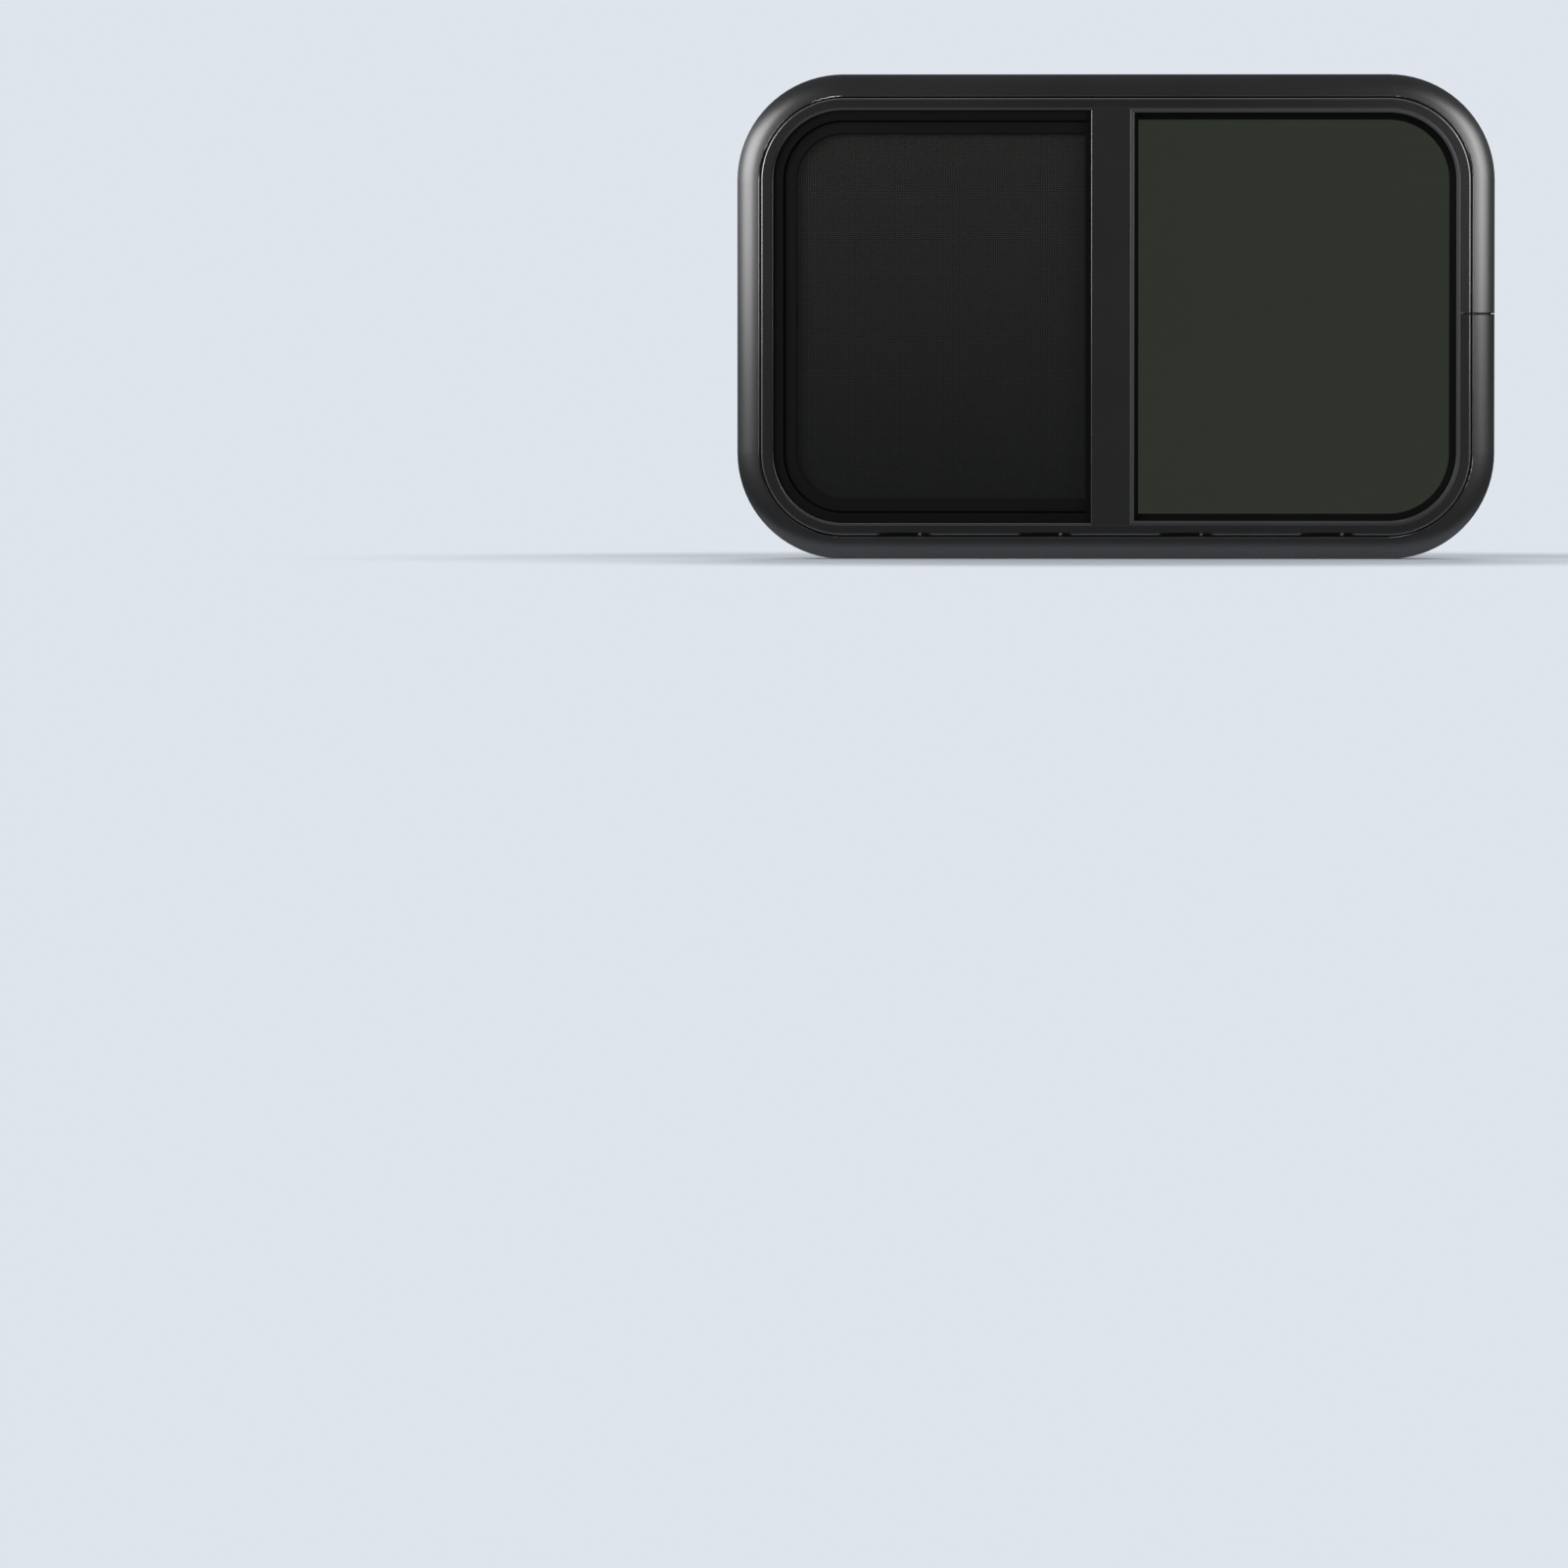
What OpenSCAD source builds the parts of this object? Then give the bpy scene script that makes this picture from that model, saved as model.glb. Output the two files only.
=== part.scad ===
/* [Wall cut-out] */
// Width of the hole that is cut in the wall for the window
cutout_w = 609.6; // [560:0.1:900]
// Height of the hole that is cut in the wall
cutout_h = 381; // [340:0.1:700]
// Corner radius of the hole that is cut in the wall
cutout_r = 76.2; // [70:0.1:95]
// Thickness of the wall that is clamped between flange and clamp ring
wall_t = 38.1; // [38:0.1:60]

/* [Bent frame profile] */
// How far the outer flange laps over the wall
flange_lap = 12.7; // [11.5:0.1:18]
// Clearance between the cut-out and the body of the frame
leg_clear = 3.2; // [2.8:0.1:5]
// Metal thickness of the extrusion
skin = 1.6; // [1.4:0.1:1.9]
// Height of the rounded flange bead above the wall
bead_h = 8.4; // [7.4:0.1:9.4]
// Height of the flange edge where the rounded bead starts
bead_edge = 1.8; // [1.2:0.1:2.4]
// How far past the inner face of the leg the arc of the bead would reach its crown
crown_past = 2; // [-7:0.1:3]
// Radius of the fine ridge along the inner edge of the bead
ridge_r = 0.7; // [0.5:0.05:0.8]
// Width of the narrow groove between that ridge and the step
groove_w = 1.3; // [1.1:0.1:1.8]
// Height of the floor of the narrow groove beside the bead
groove_h = 4.6; // [4.2:0.1:5.2]
// Height of the flat band round the panes
band_h = 13; // [12:0.1:15]
// Width of the flat band
band_w = 8.1; // [7.6:0.1:12]
// How much lower the band lies beside the step than beside the lip
band_fall = 0.1; // [0:0.05:0.6]
// Width of the lip along the inner edge of the band
lip_w = 1.9; // [1.7:0.1:2.4]
// Depth of the outer channel behind the wall's face
outer_depth = 7.4; // [7.2:0.1:8]
// Width of the inner channel in which the sliding pane runs
run_w = 12.4; // [12:0.1:13]
// Gap of the butt seam where the bent bar meets itself
seam_gap = 0.5; // [0.2:0.05:0.7]
// Height of the butt seam above the middle of the window
seam_y = 2.6; // [-40:0.1:40]
// Half the length of the plate that bridges the butt seam
splice_half = 35; // [25:1:40]

/* [Weep slots] */
// Radius of the saw that cuts the weep slots
weep_saw_r = 111; // [60:1:125]
// Thickness of the saw that cuts the weep slots
weep_saw_t = 2.2; // [1.6:0.1:2.6]
// Depth of the saw cut below the face of the band
weep_depth = 2.8; // [2.4:0.1:4.2]
// Longest distance from one weep slot to the next
weep_pitch = 118; // [90:1:200]
// Distance from the last weep slot to the bend of the corner
weep_end = 51.6; // [30:0.1:70]

/* [Mullion] */
// Left edge of the mullion from the middle of the window
mullion_x = -20.9; // [-30:0.1:-18]
// Width of the flat face of the mullion
mullion_w = 32.5; // [30:0.1:44]

/* [Glass and screen] */
// Thickness of both panes of glass
glass_t = 4; // [3:0.1:4.4]
// Width of the black liner that shows round the screen
liner_w = 8.4; // [7:0.1:10]
// Width of the frame of the insect screen
screen_w = 11.4; // [10.6:0.1:14]
// Width of the glazing bead over the lip of the right pane
bead_w = 3.6; // [3.4:0.1:4.4]
// Width of the rubber that shows between glazing bead and glass
rubber_w = 6; // [4.4:0.1:8]
// Width of the stile on the meeting edge of the sliding pane
stile_w = 14; // [12:0.1:18]
// Metal thickness of the meeting stile
stile_t = 1.4; // [1.2:0.1:1.6]
// Distance from the stops of the sliding pane to the bend of its run
stop_gap = 4; // [2:0.5:60]
// Length of each stop of the sliding pane
stop_len = 12; // [8:0.5:20]

/* [Clamp ring] */
// Metal thickness of the clamp ring on the inside of the wall
clamp_t = 2; // [1.6:0.1:2.6]
// How far the clamp ring stays inside the outline of the flange
clamp_inset = 2; // [0:0.1:4]
// Radius of the screw heads
head_r = 3.6; // [3:0.1:4.2]
// Longest distance from one clamp screw to the next
screw_pitch = 136; // [90:1:180]
// Distance from the last clamp screw to the bend of the corner
screw_end = 30; // [10:0.5:40]

/* [Latch] */
// Half the length of the pull rail on the sliding pane
rail_half = 92; // [60:1:100]
// Half the length of the latch lever
lever_half = 9.7; // [7:0.1:12]

/* [Hidden] */
$fn = 72;

// Outline of the flange and the centres of its corner bends
frame_w = cutout_w + 2 * flange_lap;
frame_h = cutout_h + 2 * flange_lap;
frame_r = cutout_r + flange_lap;
cx = frame_w / 2 - frame_r;
cy = frame_h / 2 - frame_r;

// Stations across the profile, measured inward from the outer edge
leg_u = flange_lap + leg_clear;
leg_in = leg_u + skin;
ridge_u = leg_in + ridge_r;
step_r = 1.1;
step_u = ridge_u + ridge_r + groove_w;
chan_u = step_u + skin;
band_end = step_u + band_w;
sight_u = band_end + lip_w;
rib_u = sight_u - 1.2;
slot_w = 2.8;
boss_u = leg_in + slot_w;

// Stations along the depth, counted outward from the wall's outer face
lip_h = band_h - 1;
lip_back = band_h - 5;
rib_b1 = -outer_depth;
rib_b0 = rib_b1 - skin;
rib_c1 = rib_b0 - run_w;
rib_c0 = rib_c1 - skin;
boss_p1 = rib_c0 - 2.2;
boss_p0 = boss_p1 - skin;
leg_end = -(wall_t - 4.1);

// Arc of the flange bead through its edge and its crown
crown_u = leg_in + crown_past;
rise = bead_h - bead_edge;
bead_r = (crown_u * crown_u + rise * rise) / (2 * rise);
bead_c = bead_h - bead_r;
function bead_top(u) = bead_c + sqrt(bead_r * bead_r - (u - crown_u) * (u - crown_u));

// Pocket for the seal on the back of the flange, with a full skin of metal over its outer corner
pocket_d = 3.2;
pocket_u0 = crown_u - sqrt(pow(bead_r - skin, 2) - pow(pocket_d - bead_c, 2));
pocket_u1 = leg_u - 4.5;

// Mullion and the pieces beside it
mullion_end = mullion_x + mullion_w;
mullion_lip = mullion_end + 2.1;
web_x0 = mullion_end - 11.2;
web_x1 = web_x0 + skin;
port_r = 2.5;
port_x = web_x0 - port_r + 0.4;
port_p = rib_b1 + port_r + 0.2;
face_p = band_h - 0.1;

// Panes
pane_p1 = lip_back - 4.2;
pane_p0 = pane_p1 - glass_t;
slide_p = rib_b0 - run_w / 2;
slide_p1 = slide_p + glass_t / 2;
slide_p0 = slide_p - glass_t / 2;
pane_u = leg_in + 2.9;
drop = 0.4;

// Insect screen
screen_u = sight_u + liner_w + 0.3;
screen_p0 = rib_b1 + 3.8;
screen_p1 = screen_p0 + 7.6;
screen_x = mullion_x + 6.1;
spline_u = screen_u + 7.2;

// Meeting stile of the sliding pane
stile_x1 = web_x0 - 6.4;
stile_x0 = stile_x1 - stile_w;
pane_end = stile_x1 - stile_t - 1.2;
stile_p1 = rib_b0 - 1.2;
stile_p0 = 2 * slide_p - stile_p1;
pile_x = stile_x1 - 3.5;

// Latch on the left jamb
rail_u0 = sight_u + 0.8;
pivot_u = rail_u0 + 7.5;
pivot_p = slide_p0 - 7.8;

// Even places along a straight side, no further apart than the pitch
function spots(half, pitch) = let (n = ceil(2 * half / pitch - 0.01))
  [for (i = [0:n]) -half + i * 2 * half / n];

// A point of a profile, from its distance to the outer edge and its height
function at(u, p) = [frame_r - u, p];

// A rectangle of a profile
module bar(u0, u1, p0, p1) {
  translate([frame_r - u1, p0]) square([u1 - u0, p1 - p0]);
}

// A profile run straight along the height of the window
module straight(x0, y0, y1) {
  translate([x0, y1, 0]) rotate([90, 0, 0]) linear_extrude(height = y1 - y0) children();
}

// A profile run along one side of the window
module side_right(y0, y1) {
  straight(cx, y0, y1) children();
}
module side_left(y0, y1) {
  rotate([0, 0, 180]) straight(cx, -y1, -y0) children();
}
module side_top(x0, x1) {
  rotate([0, 0, 90]) straight(cy, -x1, -x0) children();
}
module side_bottom(x0, x1) {
  rotate([0, 0, 270]) straight(cy, x0, x1) children();
}

// A profile bent round one corner of the window
module bend(sx, sy, turn) {
  translate([sx * cx, sy * cy, 0]) rotate([0, 0, turn]) rotate_extrude(angle = 90) children();
}

// A profile bent round the whole window
module ring() {
  bend(1, 1, 0) children();
  bend(-1, 1, 90) children();
  bend(-1, -1, 180) children();
  bend(1, -1, 270) children();
  side_right(-cy, cy) children();
  side_left(-cy, cy) children();
  side_top(-cx, cx) children();
  side_bottom(-cx, cx) children();
}

// A profile bent round the left half as far as x_end
module half_left(x_end) {
  bend(-1, 1, 90) children();
  bend(-1, -1, 180) children();
  side_left(-cy, cy) children();
  side_top(-cx, x_end) children();
  side_bottom(-cx, x_end) children();
}

// A profile bent round the right half from x_start
module half_right(x_start) {
  mirror([1, 0, 0]) half_left(-x_start) children();
}

// A flat sheet that fills the left half inside the contour u
module sheet_left(u, x_end, p0, p1) {
  r = frame_r - u;
  bend(-1, 1, 90) translate([0, p0]) square([r, p1 - p0]);
  bend(-1, -1, 180) translate([0, p0]) square([r, p1 - p0]);
  translate([-cx - r, -cy, p0]) cube([r, 2 * cy, p1 - p0]);
  translate([-cx, -cy - r, p0]) cube([cx + x_end, 2 * (cy + r), p1 - p0]);
}

// Half height of the window inside the contour u
function half_h(u) = frame_h / 2 - u;

// Stands the flat model up, with the outside facing minus Y
module stand() {
  translate([0, 0, cutout_h / 2]) rotate([90, 0, 0]) children();
}

// Profile of the frame: flange bead, ridge, groove, step, band, lip, ribs and screw slot
module frame_profile() {
  difference() {
    union() {
      intersection() {
        translate(at(crown_u, bead_c)) circle(r = bead_r);
        bar(0, leg_in, 0, bead_h + 1);
      }
      translate(at(ridge_u, bead_top(leg_in) - ridge_r)) circle(r = ridge_r);
      bar(leg_in - 0.1, ridge_u + ridge_r, groove_h - 0.1, bead_top(leg_in) - ridge_r);
      bar(leg_u, leg_in, leg_end, groove_h);
      bar(leg_u, chan_u, groove_h - 2, groove_h);
      bar(step_u, chan_u, groove_h - 2, band_h - band_fall - step_r);
      translate(at(step_u + step_r, band_h - band_fall - step_r)) circle(r = step_r);
      polygon([at(step_u + step_r, band_h - band_fall), at(band_end, band_h), at(band_end, band_h - 2.1),
        at(step_u + 0.6, band_h - 2.1)]);
      bar(band_end - 1, sight_u - 0.8, band_h - 2.1, lip_h);
      translate(at(sight_u - 0.8, lip_h - 0.8)) circle(r = 0.8);
      bar(band_end, sight_u, lip_back, lip_h - 0.8);
      bar(leg_u, rib_u, rib_b0, rib_b1);
      bar(leg_u, rib_u, rib_c0, rib_c1);
      bar(leg_u, boss_u + skin, boss_p0, boss_p1);
      bar(boss_u, boss_u + skin, leg_end, boss_p1);
    }
    bar(pocket_u0, pocket_u1, -1, pocket_d);
    intersection() {
      translate(at(crown_u, bead_c)) circle(r = bead_r - skin);
      bar(pocket_u0 + 2, pocket_u1 - 1.8, pocket_d - 1, bead_h);
    }
  }
}

// Saw cuts along the step that let water out of the channel
module weep_cuts() {
  for (x = spots(cx - weep_end, weep_pitch)) {
    translate([x, -half_h(step_u - 0.2), band_h - weep_depth + weep_saw_r]) rotate([-90, 0, 0])
      cylinder(r = weep_saw_r, h = weep_saw_t);
  }
}

// Outer frame, one extrusion bent into a ring and butted at the right side
module outer_frame() {
  color("dimgray") stand() difference() {
    union() {
      bend(1, 1, 0) frame_profile();
      bend(-1, 1, 90) frame_profile();
      bend(-1, -1, 180) frame_profile();
      bend(1, -1, 270) frame_profile();
      side_left(-cy, cy) frame_profile();
      side_top(-cx, cx) frame_profile();
      side_bottom(-cx, cx) frame_profile();
      side_right(-cy, seam_y - seam_gap / 2) frame_profile();
      side_right(seam_y + seam_gap / 2, cy) frame_profile();
    }
    weep_cuts();
    translate([port_x, -frame_h / 2, port_p]) rotate([-90, 0, 0]) cylinder(r = 1.9, h = frame_h);
  }
}

// Sealing tape in the pocket on the back of the flange
module flange_seal() {
  color("gray") stand() ring() bar(pocket_u0, pocket_u1, 0, pocket_d);
}

// Plate that bridges the butt seam inside the outer channel
module splice_plate() {
  color("silver") stand() side_right(seam_y - splice_half, seam_y + splice_half)
    bar(leg_in, leg_in + skin, rib_b1 + 0.3, groove_h - 2.3);
}

// Profile of the mullion: face, returns, web, screw port, back plate and pile groove
module mullion_profile() {
  difference() {
    union() {
      translate([mullion_x + 1.2, face_p - skin]) square([mullion_w - 1.2, skin]);
      translate([mullion_x + 1.2, face_p - 1.2]) circle(r = 1.2);
      translate([mullion_x, face_p - 3.6]) square([1.2, 2.4]);
      translate([mullion_end - 2, lip_h - 1.7]) square([mullion_lip - mullion_end + 2, 1.7]);
      translate([web_x0, rib_b0]) square([skin, face_p - 1 - rib_b0]);
      translate([web_x0 - 16, rib_b0]) square([mullion_lip - web_x0 + 16, skin]);
      translate([pile_x - 4, rib_b0]) square([8, 3]);
      translate([port_x, port_p]) circle(r = port_r);
    }
    translate([pile_x - 1.3, rib_b0 - 1]) square([2.6, 2]);
    translate([pile_x - 2.3, rib_b0 + 0.8]) square([4.6, 1]);
  }
}

// Mullion with its ends notched over the lip and tongued into the channel
module mullion() {
  color("dimgray") stand() difference() {
    union() {
      straight(0, -half_h(sight_u + 0.2), half_h(sight_u + 0.2)) mullion_profile();
      straight(0, -half_h(band_end + 0.2), half_h(band_end + 0.2))
        translate([mullion_x + 1.2, lip_h + 0.1]) square([mullion_w - 1.2, face_p - lip_h - 0.1]);
      straight(0, -half_h(chan_u + 0.2), half_h(chan_u + 0.2)) {
        translate([web_x0, rib_b1 + 0.2]) square([skin, lip_back - rib_b1 - 0.4]);
        translate([port_x, port_p]) circle(r = port_r);
      }
    }
    translate([port_x, -frame_h / 2, port_p]) rotate([-90, 0, 0]) cylinder(r = 1.5, h = frame_h);
  }
}

// One screw with a pan head, pointing along plus Z from the head's seat
module pan_screw(r, shank, length) {
  translate([0, 0, -1]) cylinder(r = r, h = 1);
  translate([0, 0, -1]) rotate_extrude() intersection() {
    translate([0, 2.6 * r - 1.3]) circle(r = 2.6 * r);
    translate([0, -1.4]) square([r, 1.4]);
  }
  cylinder(r = shank, h = length);
}

// Screws that hold the ends of the mullion through the frame
module mullion_screws() {
  color("silver") stand() {
    translate([port_x, -half_h(leg_u), port_p]) rotate([-90, 0, 0]) pan_screw(port_r - 0.1, 1.4, 18);
    translate([port_x, half_h(leg_u), port_p]) rotate([90, 0, 0]) pan_screw(port_r - 0.1, 1.4, 18);
  }
}

// Fixed pane on the right
module fixed_glass() {
  color("darkslategray") stand() mirror([1, 0, 0])
    sheet_left(chan_u + 3.3, -web_x1 - 3.4, pane_p0, pane_p1);
}

// Rubber channel round the fixed pane, bent round the frame and closed along the mullion
module gasket_profile() {
  bar(chan_u + 0.3, chan_u + 3.1, rib_b1 + 0.2, lip_back - 0.1);
  bar(chan_u + 1.3, band_end - 0.7, lip_back - 0.2, band_h - 2.4);
  polygon([at(chan_u + 3, pane_p1), at(sight_u + bead_w - 1.7 + rubber_w, pane_p1),
    at(sight_u + bead_w - 1.7 + rubber_w, pane_p1 + 0.8), at(sight_u + bead_w - 1.2, lip_back - 0.1),
    at(chan_u + 3, lip_back - 0.1)]);
  bar(chan_u + 3, sight_u + 0.8, rib_b1 + 0.2, pane_p0);
}
module fixed_gasket() {
  x0 = web_x1 + 0.2;
  xb = mullion_lip + 1.9;
  color("black") stand() {
    half_right(x0) gasket_profile();
    straight(0, -half_h(chan_u + 0.3), half_h(chan_u + 0.3)) {
      translate([x0, rib_b1 + 0.2]) square([2.8, lip_back - rib_b1 - 0.3]);
      polygon([[x0 + 2.7, pane_p1], [xb + 3.4, pane_p1], [xb + 3.4, pane_p1 + 0.8],
        [xb + 0.4, lip_back - 0.1], [x0 + 2.7, lip_back - 0.1]]);
      translate([x0 + 2.7, rib_b1 + 0.2]) square([mullion_lip - x0 - 4, pane_p0 - rib_b1 - 0.2]);
    }
    straight(0, -half_h(sight_u + 0.3), half_h(sight_u + 0.3))
      translate([x0, lip_back - 0.2]) square([mullion_lip - x0 - 0.3, 2.2]);
  }
}

// Profile of the glazing bead that caps the lip, with its left edge at x
module bead_profile(x) {
  intersection() {
    translate([x + bead_w / 2, lip_h - 1.8]) circle(r = 3);
    translate([x, lip_h]) square([bead_w, 2]);
  }
  translate([x, lip_back]) square([1.8, lip_h - lip_back + 0.1]);
}

// Wedge that mitres the bead where it turns along the mullion
module mitre_wedge(high, gap) {
  x0 = mullion_end + 0.3;
  y0 = half_h(band_end + 0.2) - gap;
  mirror([0, high ? 0 : 1, 0]) translate([0, 0, lip_back - 1]) linear_extrude(height = 12)
    polygon(gap == 0
      ? [[x0 - 1, y0 + 1], [x0 - 1, y0 - 30], [x0 + bead_w + 1, y0 - 30], [x0 + bead_w + 1, y0 - bead_w - 1]]
      : [[x0 - 1, y0 + 1], [x0 + bead_w + 1, y0 + 1], [x0 + bead_w + 1, y0 - bead_w - 1]]);
}

// Glazing bead round the right pane
module perimeter_bead() {
  color("gray") stand() difference() {
    half_right(mullion_end + 0.3) bead_profile(frame_r - band_end - 0.2 - bead_w);
    mitre_wedge(true, 0);
    mitre_wedge(false, 0);
  }
}

// Glazing bead along the mullion
module mullion_bead() {
  y0 = half_h(band_end + 0.4);
  color("gray") stand() difference() {
    straight(0, -y0, y0) mirror([1, 0, 0]) bead_profile(-mullion_end - 0.3 - bead_w);
    mitre_wedge(true, 0.3);
    mitre_wedge(false, 0.3);
  }
}

// Rubber blocks that carry the fixed pane
module setting_blocks() {
  color("black") stand() for (x = [web_x1 + 75, cx - 28]) {
    side_bottom(x - 20, x + 20)
      bar(leg_in, chan_u + 0.1, rib_b1 + 0.8, groove_h - 2.8);
  }
}

// Black liner that fills the outer channel of the left half and carries the screen
module liner_profile() {
  bar(chan_u + 0.2, sight_u + liner_w, lip_back - skin, lip_back);
  bar(sight_u + liner_w - skin, sight_u + liner_w, rib_b1, lip_back);
  bar(chan_u + 0.2, screen_u + 4.1, rib_b1, rib_b1 + skin);
  bar(sight_u + liner_w - skin, screen_u + 4.1, rib_b1, screen_p0);
}
module screen_liner() {
  color("black") stand() half_left(screen_x + 0.5) liner_profile();
}

// A profile round the left half that is closed by a straight bar beside the mullion
module screen_loop(u0) {
  half_left(screen_x - (u0 - screen_u)) children();
  straight(screen_x + screen_u - frame_r, -half_h(u0), half_h(u0)) children();
}

// Frame of the insect screen, with a groove for the spline on its back
module screen_frame() {
  color("black") stand() difference() {
    screen_loop(screen_u) polygon([at(screen_u, screen_p0), at(screen_u + screen_w, screen_p0),
      at(screen_u + screen_w, screen_p1 - 1.2), at(screen_u + screen_w - 1.2, screen_p1),
      at(screen_u + 1.2, screen_p1), at(screen_u, screen_p1 - 1.2)]);
    screen_loop(spline_u - 1.6) bar(spline_u - 1.6, spline_u + 1.6, screen_p0 - 1, screen_p0 + 4);
  }
}

// Round rubber cord that holds the mesh in the groove
module screen_spline() {
  color("dimgray") stand() screen_loop(spline_u)
    translate(at(spline_u, screen_p0 + 1.5)) circle(r = 1.5);
}

// Mesh of the insect screen, drawn as a thin sheet
module insect_screen() {
  u = spline_u - 1.9;
  color("darkslategray") stand()
    sheet_left(u, screen_x - (u - screen_u), screen_p0 - 0.4, screen_p0);
}

// Rubber run with a slot for the sliding pane, bent round the whole inner channel
module run_profile() {
  bar(leg_in + 0.2, leg_in + 2.2, rib_c1 + 0.2, rib_b0 - 0.2);
  bar(leg_in + 0.2, rib_u + 0.3, slide_p1 + 0.3, rib_b0 - 0.2);
  bar(leg_in + 0.2, rib_u + 0.3, rib_c1 + 0.2, slide_p0 - 0.3);
}
module glass_run() {
  color("black") stand() ring() run_profile();
}

// Sliding pane behind the screen
module sliding_glass() {
  color("darkslategray") stand() translate([0, -drop, 0])
    sheet_left(pane_u, pane_end, slide_p0, slide_p1);
}

// Upright metal channel on the meeting edge of the sliding pane
module meeting_stile() {
  y1 = half_h(rib_u + 1.3);
  color("silver") stand() straight(0, -y1, y1) difference() {
    translate([stile_x0, stile_p0]) square([stile_w, stile_p1 - stile_p0]);
    translate([stile_x0 - 1, stile_p0 + stile_t])
      square([stile_w - stile_t + 1, stile_p1 - stile_p0 - 2 * stile_t]);
  }
}

// Rubber that grips the pane inside the meeting stile
module stile_gasket() {
  y1 = half_h(rib_u + 1.3);
  color("black") stand() straight(0, -y1, y1) difference() {
    translate([stile_x0, stile_p0 + stile_t])
      square([stile_w - stile_t, stile_p1 - stile_p0 - 2 * stile_t]);
    translate([stile_x0 - 1, slide_p0]) square([pane_end - stile_x0 + 1, glass_t]);
  }
}

// Pile strip on the back of the mullion that brushes the meeting stile
module pile_seal() {
  y1 = half_h(sight_u + 0.2);
  color("black") stand() straight(0, -y1, y1) {
    translate([pile_x - 2.2, rib_b0 + 0.9]) square([4.4, 0.8]);
    translate([pile_x - 1.1, stile_p1 + 0.2]) square([2.2, rib_b0 + 1 - stile_p1 - 0.2]);
  }
}

// Pull rail bonded to the sliding pane beside the left jamb
module pull_rail() {
  gap = lever_half + 8.3;
  color("black") stand() {
    side_left(-rail_half, rail_half) bar(rail_u0, rail_u0 + 17, slide_p0 - 2, slide_p0);
    for (s = [-1, 1]) {
      side_left(min(s * gap, s * rail_half), max(s * gap, s * rail_half)) {
        bar(rail_u0 + 13, rail_u0 + 14.8, slide_p0 - 10.8, slide_p0 - 1);
        translate(at(rail_u0 + 13.9, slide_p0 - 10.8)) circle(r = 1.6);
      }
    }
  }
}

// Bracket with two cheeks that carries the latch lever
module latch_bracket() {
  hc = lever_half + 0.3;
  color("silver") stand() difference() {
    union() {
      side_left(-hc - 2.5, hc + 2.5) bar(rail_u0 + 2, rail_u0 + 12.6, slide_p0 - 3.4, slide_p0 - 2);
      for (s = [-1, 1]) {
        side_left(min(s * hc, s * (hc + 2.5)), max(s * hc, s * (hc + 2.5))) {
          bar(pivot_u - 3.4, pivot_u + 3.4, pivot_p, slide_p0 - 2);
          translate(at(pivot_u, pivot_p)) circle(r = 3.4);
        }
      }
    }
    side_left(-hc - 4, hc + 4) translate(at(pivot_u, pivot_p)) circle(r = 1.55);
  }
}

// Lever whose hook holds the pane shut behind the keeper
module latch_lever() {
  arm_p = pivot_p - 3.2;
  color("black") stand() difference() {
    union() {
      side_left(-lever_half, lever_half) polygon([at(rib_u - 5.4, arm_p - 1.8),
        at(pivot_u, arm_p - 1.8), at(pivot_u + 11, arm_p - 6), at(pivot_u + 12, arm_p - 4.4),
        at(pivot_u + 3, arm_p + 1), at(rib_u - 3.4, arm_p), at(rib_u - 3.4, arm_p + 3),
        at(rib_u - 5.4, arm_p + 3)]);
      side_left(-lever_half, lever_half) translate(at(pivot_u, pivot_p)) circle(r = 3.6);
    }
    side_left(-lever_half - 1, lever_half + 1) translate(at(pivot_u, pivot_p)) circle(r = 1.6);
  }
}

// Pin on which the latch lever turns
module latch_pin() {
  hp = lever_half + 3.6;
  color("silver") stand() side_left(-hp, hp) translate(at(pivot_u, pivot_p)) circle(r = 1.5);
}

// Keeper plate on the jamb that the latch hook catches
module latch_keeper() {
  hk = lever_half + 1.3;
  color("silver") stand() side_left(-hk, hk) {
    bar(leg_in + 2, rib_u - 0.4, rib_c0 - 1.6, rib_c0);
    bar(rib_u - 2.2, rib_u - 0.4, pivot_p - 2.9, rib_c0);
  }
}

// Rubber stops in the run that end the travel of the sliding pane
module sash_stops() {
  x = cx - stop_gap - stop_len;
  color("dimgray") stand() {
    side_top(x, x + stop_len) bar(leg_in + 2.4, rib_u - 1, slide_p0 - 0.1, slide_p1 + 0.1);
    side_bottom(x, x + stop_len) bar(leg_in + 2.4, rib_u - 1, slide_p0 - 0.1, slide_p1 + 0.1);
  }
}

// Places of the clamp screws round the window
module at_clamp_screws() {
  u = leg_in + slot_w / 2;
  for (x = spots(cx - screw_end, screw_pitch), s = [-1, 1]) {
    translate([x, s * half_h(u), 0]) children();
  }
  for (y = spots(cy - screw_end, 1.5 * screw_pitch), s = [-1, 1]) {
    translate([s * (frame_w / 2 - u), y, 0]) children();
  }
}

// Clamp ring that holds the window from the inside of the wall
module clamp_ring() {
  p1 = -wall_t;
  color("gray") stand() difference() {
    ring() {
      polygon([at(clamp_inset, p1), at(sight_u - 1.2, p1), at(sight_u - 1.2, p1 - clamp_t + 0.6),
        at(sight_u - 1.8, p1 - clamp_t), at(clamp_inset + 1.2, p1 - clamp_t),
        at(clamp_inset, p1 - clamp_t + 1.2)]);
      bar(sight_u - 2.8, sight_u - 1.2, p1 - 0.1, p1 + 6.1);
    }
    at_clamp_screws() translate([0, 0, p1 - 10]) cylinder(r = 2.1, h = 20);
  }
}

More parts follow.
